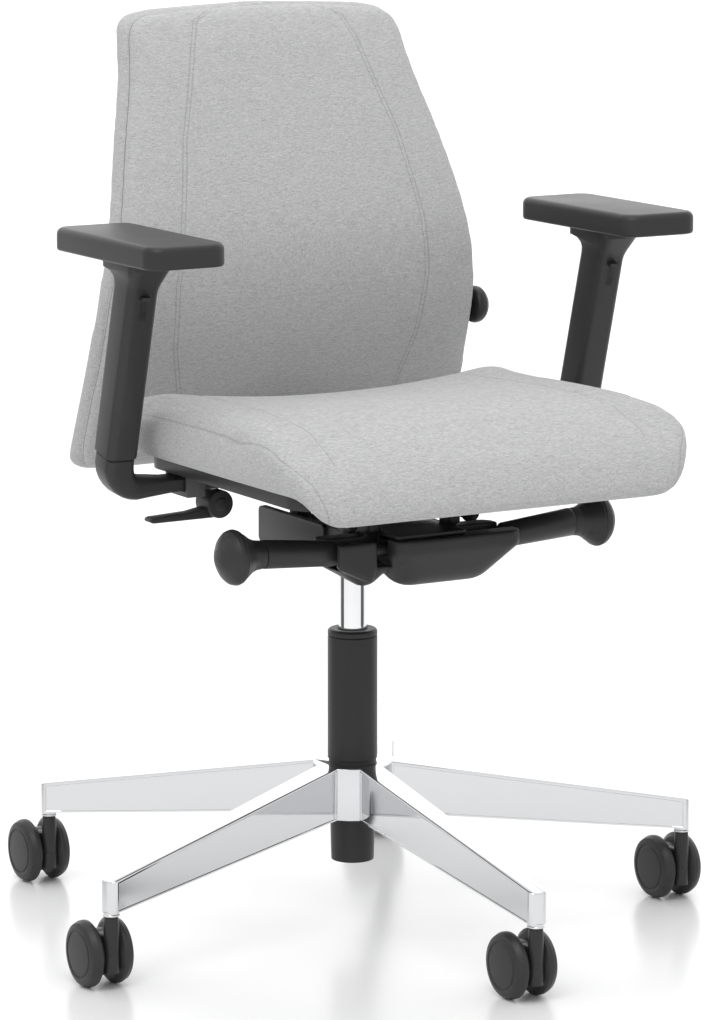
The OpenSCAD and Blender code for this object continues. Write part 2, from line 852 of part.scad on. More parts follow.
// Plate from the recline axle to the inside of the rear panel
module back_bearer() {
    plate_z = channel_top + 1.5;
    plate_t = 14;
    inner = back_foam - 10 + gap;
    rise = back_y(back_bottom) + inner;
    color(black)
    difference() {
        union() {
            translate([-46, recline_y - 6, plate_z]) cube([92, rise - recline_y, plate_t]);
            rotate([90, 0, 90]) linear_extrude(92, center = true) polygon(concat(
                [[rise - 20, plate_z], [rise + bearer_t, plate_z]],
                [for (z = [back_bottom : 20 : 650]) [back_y(z) + inner + bearer_t, z]],
                [for (z = [650 : -20 : back_bottom]) [back_y(z) + inner, z]],
                [[rise, plate_z + plate_t], [rise - 20, plate_z + plate_t]]
            ));
            for (side = [-1, 1]) translate([side * (ear_gap + ear_w) / 2, recline_y, 0]) {
                translate([-ear_w / 2, -ear_r + 4, recline_z]) cube([ear_w, 2 * ear_r - 8, plate_z - recline_z + 4]);
                translate([0, 0, recline_z]) rotate([0, 90, 0]) cylinder(h = ear_w, r = ear_r, center = true);
            }
        }
        translate([0, recline_y, recline_z]) rotate([0, 90, 0])
            cylinder(h = 300, r = recline_axle_r + run, center = true);
    }
}

module back_shell() {
    color(black)
    difference() {
        back_piece(back_foam - 14, back_foam - 10, 9);
        lumbar_shaft_cut(gap + 4);
    }
}

module lumbar_shaft_cut(r) {
    translate([110, back_y(knob_axis_z) + 8, knob_axis_z]) rotate([0, 90, 0]) cylinder(h = 200, r = r);
}

module back_cushion() {
    front = 14;
    color(cloth)
    difference() {
        union() {
            back_piece(-front, 0, 1);
            back_piece(-0.5, back_foam - front, 8);
        }
        band(4, back_foam, lumbar_cut_z[0], lumbar_cut_z[1], 124);
        lumbar_shaft_cut(5);
    }
}

module rear_panel() {
    color(cloth)
    difference() {
        back_piece(0.5, panel_depth, 0);
        back_piece(-cut, panel_depth - 4, 5);
        lumbar_shaft_cut(stud_r + run);
        // Opening for the bearer in the lower edge
        translate([-50, back_y(back_bottom) - 20, back_bottom - cut]) cube([100, 80, 24]);
    }
}

module lumbar_knob() {
    face = back_half_w - 0.5;
    color(black)
    translate([0, back_y(knob_axis_z) + 8, knob_axis_z]) rotate([0, 90, 0]) {
        translate([0, 0, face]) rotate_extrude()
            polygon(concat([[0, 0], [17.5, 0]], arc(16.5, 3, 3, -45, 60, 4), [[16.5, 13], [14, 15], [0, 15.5]]));
        translate([0, 0, 128]) cylinder(h = face - 128 + 2, r = stud_r);
    }
}

module lumbar_plate() {
    color(black) band(12, 15.4, lumbar_cut_z[0] + 6, lumbar_cut_z[1] - 6, 118);
}

// ---------------------------------------------------------------- casters

module at_caster(i) {
    a = 270 + (i - 1) * 360 / leg_count;
    translate([caster_circle_r * cos(a), caster_circle_r * sin(a), 0]) children();
}

module caster_housing() {
    color(black)
    difference() {
        union() {
            translate([0, 0, wheel_r - 4]) cylinder(h = neck_top - wheel_r + 4, r = neck_r);
            translate([0, caster_trail, wheel_r]) rotate([0, 90, 0])
                cylinder(h = 2 * neck_r, r = wheel_r - 9, center = true);
            translate([-neck_r, 0, wheel_r - 4]) cube([2 * neck_r, caster_trail, wheel_r - 5]);
        }
        translate([0, 0, neck_top - 26]) cylinder(h = 60, r = stem_r);
        translate([0, caster_trail, wheel_r]) rotate([0, 90, 0]) cylinder(h = 60, r = axle_r, center = true);
    }
}

module caster_pins() {
    color(zinc) {
        translate([0, 0, neck_top - 26]) cylinder(h = leg_tip_top - 5 - neck_top + 26, r = stem_r);
        translate([0, caster_trail, wheel_r]) rotate([0, 90, 0])
            cylinder(h = 2 * (wheel_x + wheel_w / 2 - 4), r = axle_r, center = true);
    }
}

// One wheel: rounded tread, stepped face and a blind bore for the axle
module caster_wheel(side) {
    w = wheel_w;
    color(black)
    translate([side * (wheel_gap / 2), caster_trail, wheel_r]) rotate([0, side * 90, 0])
        difference() {
            rotate_extrude() polygon(concat(
                [[0, 0], [wheel_r - 3, 0]],
                arc(wheel_r - 3, 3, 3, -60, 0, 3),
                arc(wheel_r - 4.5, w - 5.5, 4.5, 0, 80, 5),
                [[wheel_r - 7, w - 1], [wheel_r - 8, w - 2], [wheel_r - 11, w - 2]],
                [[wheel_r - 12, w - 0.6], [0, w]]
            ));
            translate([0, 0, -cut]) cylinder(h = w - 4 + 0.5 + cut, r = axle_r + run);
        }
}

// ---------------------------------------------------------------- nodes

star_base();
leg_collars();
column_tube();
tube_cap();
guide_bush();
thrust_bearing();
piston_rod();
gas_cylinder();
valve_pin();
mechanism_housing();
mechanism_cover();
side_covers();
pivot_axles();
recline_spring();
height_lever();
height_knob();
tilt_lever();
tension_knob();
seat_carrier();
seat_pan();
seat_cushion();
seat_screws();
clamp_studs();
arm_guides();
back_bearer();
back_shell();
back_cushion();
rear_panel();
lumbar_knob();
lumbar_plate();
for (k = [0, 1]) {
    name = str(SIDES[k], "_arm_");
    side = 1 - 2 * k;
    arm_bracket(side);
    arm_sleeve(side);
    arm_pad(side);
    arm_button(side);
    arm_clamp_lever(side);
}
for (i = [1 : leg_count]) {
    name = str("caster_", i, "_");
    at_caster(i) caster_housing();
    at_caster(i) caster_pins();
    at_caster(i) caster_wheel(1);
    at_caster(i) caster_wheel(-1);
}
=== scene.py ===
# %% [markdown]
# # A swivel office chair, dressed for a studio picture
#
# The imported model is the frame: it holds every part at its real size and says which
# body each part moves with. This lesson keeps that frame, gives each part its finish,
# and models the pieces that a plain solid can't show: cushions, castings and mouldings.

# %% Load the frame
import json
import math

import bmesh
import bpy
from mathutils import Matrix, Vector


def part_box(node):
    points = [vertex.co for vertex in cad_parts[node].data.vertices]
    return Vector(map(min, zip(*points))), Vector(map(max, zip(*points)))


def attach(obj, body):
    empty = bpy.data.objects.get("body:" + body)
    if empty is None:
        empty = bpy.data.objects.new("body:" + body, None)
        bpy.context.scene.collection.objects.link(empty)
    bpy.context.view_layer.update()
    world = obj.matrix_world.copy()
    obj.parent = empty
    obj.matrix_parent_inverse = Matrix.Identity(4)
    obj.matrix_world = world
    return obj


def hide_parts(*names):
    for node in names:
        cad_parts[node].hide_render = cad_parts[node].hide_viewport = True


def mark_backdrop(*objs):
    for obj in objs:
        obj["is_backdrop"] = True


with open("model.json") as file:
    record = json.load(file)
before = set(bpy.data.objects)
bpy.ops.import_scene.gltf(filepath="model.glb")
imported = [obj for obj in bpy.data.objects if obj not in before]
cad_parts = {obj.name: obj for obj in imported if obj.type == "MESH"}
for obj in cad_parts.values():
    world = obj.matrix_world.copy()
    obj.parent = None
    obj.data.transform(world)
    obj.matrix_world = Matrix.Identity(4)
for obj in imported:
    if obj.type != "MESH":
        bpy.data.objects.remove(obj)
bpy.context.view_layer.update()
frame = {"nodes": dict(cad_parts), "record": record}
MM = 0.001

# %% [markdown]
# ## The camera
#
# A long lens, set well back, keeps the verticals almost parallel. The camera stands in
# front of the chair, towards the sitter's right hand, and a little above the seat.
# It aims at a point on the swivel axis and is placed with an azimuth and an elevation.

# %% The camera
AIM = Vector((0.0, 0.0, 0.450))
AZIMUTH = math.radians(-30.16)
ELEVATION = math.radians(9.78)
DISTANCE = 4.5146


def make_camera():
    away = Vector((math.sin(AZIMUTH) * math.cos(ELEVATION),
                   -math.cos(AZIMUTH) * math.cos(ELEVATION),
                   math.sin(ELEVATION)))
    data = bpy.data.cameras.new("camera")
    data.sensor_width = 36.0
    data.lens = 160.08
    data.shift_y = -0.0284
    data.clip_end = 200.0
    camera = bpy.data.objects.new("camera", data)
    camera.location = AIM + DISTANCE * away
    camera.rotation_euler = (-away).to_track_quat("-Z", "Y").to_euler()
    bpy.context.scene.collection.objects.link(camera)
    bpy.context.scene.camera = camera
    return camera


camera = make_camera()
print("camera at", [round(v, 3) for v in camera.location])

# %% [markdown]
# ## The studio
#
# A pale floor runs back past the top of the picture, so it is the background too.
# Two big soft lamps, one over the sitter's right and one over the left, give the soft
# double shadow under the casters. Polished metal shows what stands around it, so two
# low dark boards beside the set give the chrome its bands, and a far white wall gives
# the legs their bright tops. They are part of the stage. The boards are low and the
# wall is far off, so that a camera that goes round the chair isn't blocked by them.

# %% The studio
world = bpy.data.worlds.new("studio")
bpy.context.scene.world = world
world.use_nodes = True
world.node_tree.nodes["Background"].inputs["Color"].default_value = (1.0, 1.0, 1.0, 1.0)
world.node_tree.nodes["Background"].inputs["Strength"].default_value = 1.0
bpy.context.scene.view_settings.view_transform = "Standard"


def area_lamp(name, place, target, size, power):
    data = bpy.data.lights.new(name, "AREA")
    data.shape = "RECTANGLE"
    data.size, data.size_y = size
    data.energy = power
    lamp = bpy.data.objects.new(name, data)
    lamp.location = place
    lamp.rotation_euler = (Vector(target) - Vector(place)).to_track_quat("-Z", "Y").to_euler()
    bpy.context.scene.collection.objects.link(lamp)
    return lamp


area_lamp("key_lamp", (-1.2, -1.6, 3.2), (0.0, 0.0, 0.5), (2.4, 2.0), 46.0)
area_lamp("top_lamp", (0.6, 0.9, 3.4), (0.0, 0.0, 0.4), (2.6, 2.0), 20.0)


def card(name, place, target, size, shade, glow=0.0):
    """An upright board beside the set, seen in the polished metal."""
    material = bpy.data.materials.new(name)
    material.use_nodes = True
    sockets = material.node_tree.nodes["Principled BSDF"].inputs
    sockets["Base Color"].default_value = (shade, shade, shade, 1.0)
    sockets["Roughness"].default_value = 0.9
    sockets["Emission Color"].default_value = (1.0, 1.0, 1.0, 1.0)
    sockets["Emission Strength"].default_value = glow
    bm = bmesh.new()
    bmesh.ops.create_grid(bm, x_segments=1, y_segments=1, size=0.5)
    turn = (Vector(target) - Vector(place)).to_track_quat("Z", "Y").to_matrix().to_4x4()
    bmesh.ops.transform(bm, verts=bm.verts[:], matrix=Matrix.Translation(place) @ turn
                        @ Matrix.Diagonal((*size, 1, 1)))
    mesh = bpy.data.meshes.new(name)
    bm.to_mesh(mesh)
    bm.free()
    mesh.materials.append(material)
    board = bpy.data.objects.new(name, mesh)
    bpy.context.scene.collection.objects.link(board)


card("card_over_camera", (-4.5, -7.3, 9.0), (0.0, 0.0, 0.1), (6.2, 2.3), 0.03)
card("card_right", (1.25, -0.75, 0.1), (0.0, 0.0, 0.1), (0.9, 0.2), 0.12)
card("card_left", (-1.2, 0.75, 0.1), (0.0, 0.0, 0.1), (0.9, 0.2), 0.12)
card("white_backdrop", (9.0, 15.6, 5.2), (0.0, 0.0, 5.2), (32.0, 12.4), 0.8, 0.9)

# %% [markdown]
# ## Shader sums as Python sums
#
# A material is a graph of nodes. Wiring each Math node by hand hides the sum that it
# does, so `Wire` wraps one output socket and Python's own operators add the nodes.
# `make` adds any other node: its settings first, then the values or wires it takes.

# %% Shader sums as Python sums
class Wire:
    """One output socket in a material, with arithmetic that adds Math nodes."""

    def __init__(self, tree, socket=None):
        self.tree = tree
        self.socket = socket

    def make(self, kind, settings=None, **inputs):
        node = self.tree.nodes.new("ShaderNode" + kind)
        for name, value in (settings or {}).items():
            if name == "stops":
                set_stops(node.color_ramp, value)
            else:
                setattr(node, name, value)
        for name, value in inputs.items():
            key = int(name[1:]) if name[0] == "i" and name[1:].isdigit() else name.replace("_", " ")
            socket = node.inputs[key]
            if isinstance(value, Wire):
                self.tree.links.new(value.socket, socket)
            else:
                socket.default_value = value
        return Wire(self.tree, node.outputs[0])

    def out(self, name):
        return Wire(self.tree, self.socket.node.outputs[name])

    def sum(self, kind, first, second):
        return self.make("Math", {"operation": kind}, i0=first, i1=second)

    def __add__(self, other):
        return self.sum("ADD", self, other)

    def __radd__(self, other):
        return self.sum("ADD", other, self)

    def __sub__(self, other):
        return self.sum("SUBTRACT", self, other)

    def __rsub__(self, other):
        return self.sum("SUBTRACT", other, self)

    def __mul__(self, other):
        return self.sum("MULTIPLY", self, other)

    def __rmul__(self, other):
        return self.sum("MULTIPLY", other, self)

    def __truediv__(self, other):
        return self.sum("DIVIDE", self, other)

    def clamp(self):
        return self.make("Clamp", None, Value=self)


def set_stops(ramp, stops):
    while len(ramp.elements) < len(stops):
        ramp.elements.new(0.5)
    for element, (place, colour) in zip(ramp.elements, stops):
        element.position = place
        element.color = colour


def grey(value):
    return (value, value, value, 1.0)


def tint(red, green, blue):
    return (red, green, blue, 1.0)


print("shader helpers ready")

# %% [markdown]
# ## A finish
#
# Each finish starts the same way: a Principled shader whose fixed values sit on its own
# sockets, and the object's own coordinates, in metres, for its patterns. `finish` makes
# both and hands back the shader with a `Wire` to start sums from.

# %% A finish
finishes = {}


def finish(name, **values):
    material = bpy.data.materials.new(name)
    material.use_nodes = True
    tree = material.node_tree
    shader = tree.nodes["Principled BSDF"]
    for key, value in values.items():
        shader.inputs[key.replace("_", " ")].default_value = value
    finishes[name] = material
    start = Wire(tree)
    place = start.make("TexCoord").out("Object")
    return shader, start, place


def plug(shader, **wires):
    for key, wire in wires.items():
        wire.tree.links.new(wire.socket, shader.inputs[key.replace("_", " ")])


def bump(start, height, strength, distance):
    return start.make("Bump", None, Strength=strength, Distance=distance, Height=height)


def noise(start, place, scale, detail=3.0, rough=0.5):
    return start.make("TexNoise", None, Vector=place, Scale=scale, Detail=detail, Roughness=rough)


def blend_colours(start, amount, first, second):
    mixed = start.make("Mix", {"data_type": "RGBA"}, i0=amount, i6=first, i7=second)
    return Wire(mixed.tree, mixed.socket.node.outputs[2])


print("finish helpers ready")

# %% [markdown]
# ## Polished and chromed metal
#
# The base is a polished aluminium casting: a mirror, with a very faint waviness that
# hand polishing leaves and a few hair-fine marks. The gas cylinder is harder and
# cleaner, so its marks are rarer and its colour a touch cooler.

# %% Polished and chromed metal
def polished_metal(name, colour, roughness, wave):
    shader, start, place = finish(name, Base_Color=colour, Metallic=1.0, Roughness=roughness)
    waves = noise(start, place, 9.0, 2.0)
    marks = noise(start, place, 260.0, 4.0, 0.7)
    plug(shader, Roughness=(roughness + (marks - 0.5) * 0.05).clamp())
    plug(shader, Normal=bump(start, waves, wave, 0.004))
    return finishes[name]


polished_metal("polished_base", tint(0.68, 0.685, 0.695), 0.06, 0.05)
polished_metal("chrome", tint(0.82, 0.825, 0.835), 0.035, 0.01)
print("metals:", sorted(finishes))

# %% [markdown]
# ## Zinc plate
#
# Axles, screws and studs are bright zinc: duller than chrome, with a cloudy grain.

# %% Zinc plate
def zinc_plate(name, colour):
    shader, start, place = finish(name, Metallic=1.0, Roughness=0.38)
    cloud = noise(start, place, 90.0, 3.0)
    darker = tuple(c * 0.78 for c in colour[:3]) + (1.0,)
    plug(shader, Base_Color=blend_colours(start, cloud, darker, colour))
    plug(shader, Roughness=0.28 + cloud * 0.22)
    return finishes[name]


zinc_plate("zinc", tint(0.62, 0.63, 0.65))
zinc_plate("caster_pin", tint(0.60, 0.61, 0.63))
print("plated:", sorted(finishes))

# %% [markdown]
# ## Black mouldings and castings
#
# Moulded parts have a spark-eroded grain: a fine cellular bump that breaks the
# highlight up. Powder coat is the same idea with rounder, larger cells. Both vary a
# little in roughness and tone. Convex edges are slightly smoother, and a painted
# highlight makes their colour paler.

# %% Black mouldings and castings
def moulded_black(name, colour, roughness, cell, depth):
    shader, start, place = finish(name, Base_Color=colour, Roughness=roughness,
                                  Specular_IOR_Level=0.34)
    grain = start.make("TexVoronoi", {"feature": "SMOOTH_F1"}, Vector=place, Scale=cell)
    patches = noise(start, place, 14.0, 3.0)
    lighter = tuple(c * 1.35 for c in colour[:3]) + (1.0,)
    # Convex edges, found by pointiness, are painted paler as a painted highlight; they are also a
    # little smoother.
    edge_pointiness = start.make("NewGeometry").out("Pointiness")
    edge = start.make("ValToRGB", {"stops": [(0.50, grey(0.0)), (0.56, grey(1.0))]}, Fac=edge_pointiness)
    amount = (patches * 0.55 + edge * 0.45).clamp()
    plug(shader, Base_Color=blend_colours(start, amount, colour, lighter))
    plug(shader, Roughness=(roughness + (patches - 0.5) * 0.12 - edge * 0.05).clamp())
    plug(shader, Normal=bump(start, grain, depth, 0.0004))
    return finishes[name]


moulded_black("black_plastic", tint(0.021, 0.021, 0.022), 0.40, 900.0, 0.22)
moulded_black("black_casting", tint(0.022, 0.022, 0.023), 0.46, 650.0, 0.35)
moulded_black("black_tube", tint(0.019, 0.019, 0.020), 0.44, 700.0, 0.25)
moulded_black("caster_plastic", tint(0.018, 0.018, 0.019), 0.38, 900.0, 0.15)
moulded_black("caster_tread", tint(0.021, 0.021, 0.022), 0.42, 800.0, 0.18)
moulded_black("guide_plastic", tint(0.07, 0.07, 0.072), 0.45, 900.0, 0.15)
moulded_black("pad_foam", tint(0.018, 0.018, 0.019), 0.42, 1400.0, 0.30)
moulded_black("bush_plastic", tint(0.72, 0.71, 0.66), 0.45, 900.0, 0.10)
print("mouldings:", len(finishes))

# %% [markdown]
# ## Woven cloth
#
# The cover is a plain weave of light and darker grey yarns, so close up it is a mixture
# of small flecks that run along the threads in both directions. Two stretched noises
# make the flecks, one for each thread direction, and a fine pair of waves makes the
# threads themselves. A little sheen keeps the turned edges soft.
#
# The stitch lines are exact: each vertex stores how far it is from up to three seams,
# and the shader draws a thin dark line where that distance passes through zero.

# %% Woven cloth
SEAM_LINE = 1.1 * MM


def woven_cloth(name, light, dark):
    shader, start, place = finish(name, Roughness=0.95, Sheen_Weight=0.18, Sheen_Roughness=0.5)
    along = start.make("Mapping", None, Vector=place, Scale=(260.0, 260.0, 1500.0))
    across = start.make("Mapping", None, Vector=place, Scale=(1500.0, 1500.0, 220.0))
    weft = noise(start, along, 1.0, 2.0)
    warp = noise(start, across, 1.0, 2.0)
    flecks = ((weft - 0.5) * 1.5 + (warp - 0.5) * 1.5 + 0.5).clamp()
    drawn_out = start.make("Mapping", None, Vector=place, Scale=(110.0, 110.0, 800.0))
    slubs = noise(start, drawn_out, 1.0, 2.0)
    amount = (flecks * 0.8 + slubs * 0.6 - 0.2).clamp()
    stored = start.make("Attribute", {"attribute_name": "seams"}).out("Vector")
    parts = start.make("SeparateXYZ", None, Vector=stored)
    near = [start.sum("ABSOLUTE", parts.out(axis), 0.0) for axis in "XYZ"]
    stitch = (1.0 - start.sum("MINIMUM", near[0], near[1]) / SEAM_LINE).clamp()
    joint = (1.0 - near[2] / (1.4 * SEAM_LINE)).clamp()
    line = (stitch * 0.3 + joint * 0.8).clamp()
    cloth = blend_colours(start, amount, dark, light)
    plug(shader, Base_Color=blend_colours(start, line, cloth, tint(0.06, 0.06, 0.06)))
    plug(shader, Normal=bump(start, flecks * 0.4 - line, 0.45, 0.0008))
    return finishes[name]


woven_cloth("grey_cloth", tint(0.52, 0.52, 0.525), tint(0.27, 0.27, 0.275))
print("cloth ready")

# %% [markdown]
# ## The floor
#
# The floor is pale, smooth and faintly glossy, so the casters have a soft reflection.

# %% The floor
def make_floor():
    shader, start, place = finish("floor_paint", Base_Color=grey(0.86), Roughness=0.22)
    cloud = noise(start, place, 1.2, 2.0)
    plug(shader, Roughness=0.18 + cloud * 0.1)
    mesh = bpy.data.meshes.new("floor")
    bm = bmesh.new()
    bmesh.ops.create_grid(bm, x_segments=8, y_segments=8, size=40.0)
    bm.to_mesh(mesh)
    bm.free()
    mesh.materials.append(finishes["floor_paint"])
    floor = bpy.data.objects.new("floor", mesh)
    bpy.context.scene.collection.objects.link(floor)
    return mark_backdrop(floor)


make_floor()
print("floor laid")

# %% [markdown]
# ## Finishes on the frame's own parts
#
# Each node of the frame already names its finish in the record, so one loop paints them.

# %% Finishes on the frame's own parts
def paint_frame():
    for part in frame["record"]["subparts"]:
        node = frame["nodes"][part["node"]]
        node.data.materials.clear()
        node.data.materials.append(finishes[part["material_slot"]])


paint_frame()

# %% [markdown]
# ## A small set of modelling tools
#
# Most pieces of a chair are one of two things: a profile turned about an axis, or an
# outline pushed through a thickness. Both start as a short chain of vertices, and a
# vertex bevel rounds the chain's corners before it becomes a surface. `keep` then
# closes the piece: normals outwards, a finish, a body to ride on and the frame's
# nodes that it stands for.

# %% A small set of modelling tools
def chain(points, closed=False):
    bm = bmesh.new()
    verts = [bm.verts.new(point) for point in points]
    for first, second in zip(verts, verts[1:] + (verts[:1] if closed else [])):
        bm.edges.new((first, second))
    return bm, verts


def round_corners(bm, verts, radius, segments=5):
    bmesh.ops.bevel(bm, geom=verts, offset=radius, offset_type="OFFSET", segments=segments,
                    profile=0.5, affect="VERTICES", material=-1, clamp_overlap=True)


def round_edges(bm, edges, radius, segments=3):
    bmesh.ops.bevel(bm, geom=edges, offset=radius, offset_type="OFFSET", segments=segments,
                    profile=0.5, affect="EDGES", material=-1, clamp_overlap=True)


def sharp_edges(bm, degrees=35):
    limit = math.radians(degrees)
    return [e for e in bm.edges if len(e.link_faces) == 2 and e.calc_face_angle(0.0) > limit]


def merge(bm, distance=1e-6):
    bmesh.ops.remove_doubles(bm, verts=bm.verts[:], dist=distance)


def keep(name, bm, finish_name, body, nodes=(), smooth=40):
    merge(bm)
    bmesh.ops.recalc_face_normals(bm, faces=bm.faces[:])
    for face in bm.faces:
        face.smooth = True
    for edge in bm.edges:
        angle = edge.calc_face_angle(0.0) if len(edge.link_faces) == 2 else 0.0
        edge.smooth = angle < math.radians(smooth)
    mesh = bpy.data.meshes.new(name)
    bm.to_mesh(mesh)
    bm.free()
    mesh.materials.append(finishes[finish_name])
    piece = bpy.data.objects.new(name, mesh)
    bpy.context.scene.collection.objects.link(piece)
    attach(piece, body)
    if nodes:
        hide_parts(*nodes)
    return piece


def rough_object(bm):
    """A passing object that holds a shape while a modifier works on it."""
    mesh = bpy.data.meshes.new("rough")
    bm.to_mesh(mesh)
    bm.free()
    rough = bpy.data.objects.new("rough", mesh)
    bpy.context.scene.collection.objects.link(rough)
    return rough


def modifier(piece, kind, **values):
    added = piece.modifiers.new(kind.lower(), kind)
    for key, value in values.items():
        setattr(added, key, value)
    return added


def turned(points, corners=0.0, steps=48, segments=3):
    """A closed shape turned about Z from (radius, height) points."""
    bm, verts = chain([(radius, 0.0, height) for radius, height in points])
    if corners:
        inner = [v for v in verts[1:-1] if v.co.x > 1e-6]
        round_corners(bm, inner, corners, segments)
    bmesh.ops.spin(bm, geom=bm.verts[:] + bm.edges[:], cent=(0, 0, 0), axis=(0, 0, 1),
                   dvec=(0, 0, 0), angle=math.tau, steps=steps, use_merge=True,
                   use_duplicate=False)
    merge(bm)
    return bm


def plate(points, low, high, corners=0.0, edges=0.0, segments=4):
    """An outline in the XY plane pushed from one height to another."""
    bm, verts = chain([(x, y, low) for x, y in points], closed=True)
    if corners:
        round_corners(bm, verts, corners, segments)
    bmesh.ops.contextual_create(bm, geom=bm.edges[:])
    made = bmesh.ops.extrude_face_region(bm, geom=bm.faces[:])
    moved = [v for v in made["geom"] if isinstance(v, bmesh.types.BMVert)]
    bmesh.ops.translate(bm, vec=(0, 0, high - low), verts=moved)
    if edges:
        rims = [e for e in bm.edges if all(abs(v.co.z - low) < 1e-7 for v in e.verts)
                or all(abs(v.co.z - high) < 1e-7 for v in e.verts)]
        round_edges(bm, rims, edges)
    return bm


def box_points(x0, x1, y0, y1):
    return [(x0, y0), (x1, y0), (x1, y1), (x0, y1)]


def placed(bm, matrix):
    bmesh.ops.transform(bm, matrix=matrix, verts=bm.verts[:])
    return bm


def joined(*parts):
    """Several shapes in one bmesh, with the parts emptied."""
    whole = bmesh.new()
    for part in parts:
        mesh = bpy.data.meshes.new("part")
        part.to_mesh(mesh)
        part.free()
        whole.from_mesh(mesh)
        bpy.data.meshes.remove(mesh)
    return whole


def soft_step(value, low, high):
    share = min(max((value - low) / (high - low), 0.0), 1.0)
    return share * share * (3 - 2 * share)


print("modelling tools ready")

# %% [markdown]
# ## The polished base
#
# The base is one casting: five tapering legs that leave a short round hub. Seen from
# above it is a star, so the top is drawn first, one leg and its share of the hub, and
# repeated round the axis. Pushing that sheet down gives the walls, and their lower
# vertices then move onto the slope of the legs' undersides. The wall faces are inset a
# little, which leaves the raised lip that catches the light along each leg.

# %% The polished base
hub_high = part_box("star_base")[1]
collar_low, collar_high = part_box("leg_collars")
LEG_COUNT = 5
HUB_R = 40 * MM
HUB_TOP = hub_high.z
HUB_BOTTOM = HUB_TOP - 53 * MM
BORE_R = 22.5 * MM
TIP_TOP = 108 * MM
TIP_BOTTOM = collar_high.z
STEM_R = 345 * MM
TIP_R = STEM_R + 9.5 * MM
TIP_HALF = 9.5 * MM
ROOT_HALF = 13.5 * MM


def leg_height(reach, at_hub, at_tip):
    share = min(max((reach - HUB_R) / (TIP_R - HUB_R), 0.0), 1.0)
    return at_hub + (at_tip - at_hub) * share


def star_outline():
    """The star's top: one leg's outline, turned round the axis five times."""
    root_x = math.sqrt(HUB_R ** 2 - ROOT_HALF ** 2)
    half_step = math.pi / LEG_COUNT
    valley = (HUB_R * math.cos(half_step), HUB_R * math.sin(half_step))
    side = [(TIP_R - 3 * MM, TIP_HALF), (root_x, ROOT_HALF), valley]
    points = [(x, -y, 0.0) for x, y in reversed(side)] + [(x, y, 0.0) for x, y in side]
    bm, verts = chain(points)
    bmesh.ops.spin(bm, geom=bm.verts[:] + bm.edges[:], cent=(0, 0, 0), axis=(0, 0, 1),
                   dvec=(0, 0, 0), angle=math.tau * (LEG_COUNT - 1) / LEG_COUNT,
                   steps=LEG_COUNT - 1, use_merge=False, use_duplicate=True)
    merge(bm, 1e-5)
    return bm


def star_top(bm):
    """Faces for the hub and the legs, with the legs sloping down to their tips."""
    bmesh.ops.contextual_create(bm, geom=bm.edges[:])
    roots = [v for v in bm.verts if abs(v.co.to_2d().length - HUB_R) < 1e-5
             and any(o.co.to_2d().length > 2 * HUB_R for e in v.link_edges
                     for o in e.verts)]
    for vert in roots:
        nearest = sorted(roots, key=lambda other: (other.co - vert.co).length)[1]
        bmesh.ops.connect_verts(bm, verts=[vert, nearest])
    for vert in bm.verts:
        vert.co.z = leg_height(vert.co.to_2d().length, HUB_TOP, TIP_TOP)


def star_casting():
    bm = star_outline()
    star_top(bm)
    made = bmesh.ops.extrude_face_region(bm, geom=bm.faces[:])
    for vert in [g for g in made["geom"] if isinstance(g, bmesh.types.BMVert)]:
        vert.co.z = leg_height(vert.co.to_2d().length, HUB_BOTTOM, TIP_BOTTOM)
    bmesh.ops.recalc_face_normals(bm, faces=bm.faces[:])
    return bm


def leg_walls(bm):
    return [f for f in bm.faces if abs(f.normal.z) < 0.2 and f.calc_area() > 50 * HUB_R * MM]


def bored(bm, radius):
    """The shape with a round hole down its axis, which the column passes through."""
    cutter = bmesh.new()
    bmesh.ops.create_cone(cutter, cap_ends=True, segments=64, radius1=radius, radius2=radius,
                          depth=1.0)
    pieces = [rough_object(shape) for shape in (bm, cutter)]
    modifier(pieces[0], "BOOLEAN", operation="DIFFERENCE", object=pieces[1])
    graph = bpy.context.evaluated_depsgraph_get()
    done = bmesh.new()
    done.from_object(pieces[0], graph)
    for piece in pieces:
        bpy.data.objects.remove(piece)
    return done


def star_base():
    bm = star_casting()
    uprights = [e for e in bm.edges if abs((e.verts[0].co - e.verts[1].co).normalized().z) > 0.99]
    tips = [e for e in uprights if e.verts[0].co.to_2d().length > 2 * HUB_R
            and e.calc_face_angle(0.0) > 0.5]
    round_edges(bm, tips, 6 * MM, 5)
    bm.normal_update()
    under = [f for f in bm.faces if f.normal.z < -0.5]
    bmesh.ops.inset_region(bm, faces=under, thickness=3 * MM, depth=-8 * MM, use_even_offset=True)
    bm.normal_update()
    rims = [e for e in bm.edges if len(e.link_faces) == 2
            and e.calc_face_angle(0.0) > math.radians(50)
            and max(f.normal.z for f in e.link_faces) > 0.7]
    round_edges(bm, rims, 5.0 * MM, 5)
    bm.normal_update()
    walls = leg_walls(bm)
    bmesh.ops.inset_individual(bm, faces=walls, thickness=2.2 * MM, depth=0.0)
    bmesh.ops.inset_individual(bm, faces=walls, thickness=0.8 * MM, depth=-0.7 * MM)
    bm = placed(bored(bm, BORE_R), Matrix.Rotation(-math.pi / 2, 4, "Z"))
    return keep("polished_star_base", bm, "polished_base", "base", ["star_base"], 25)


star = star_base()
print("base:", len(star.data.polygons), "faces")

# %% [markdown]
# ## Collars, column and gas cylinder
#
# These are turned parts. A profile with rounded corners, swept once round the axis,
# gives the soft edges that a plain cylinder lacks: the collars under the legs, the
# column tube with its tapered foot, the cap that closes it, and the chromed cylinder.

# %% Collars, column and gas cylinder
def leg_places():
    for k in range(LEG_COUNT):
        angle = -math.pi / 2 + k * math.tau / LEG_COUNT
        yield Vector((STEM_R * math.cos(angle), STEM_R * math.sin(angle), 0.0))


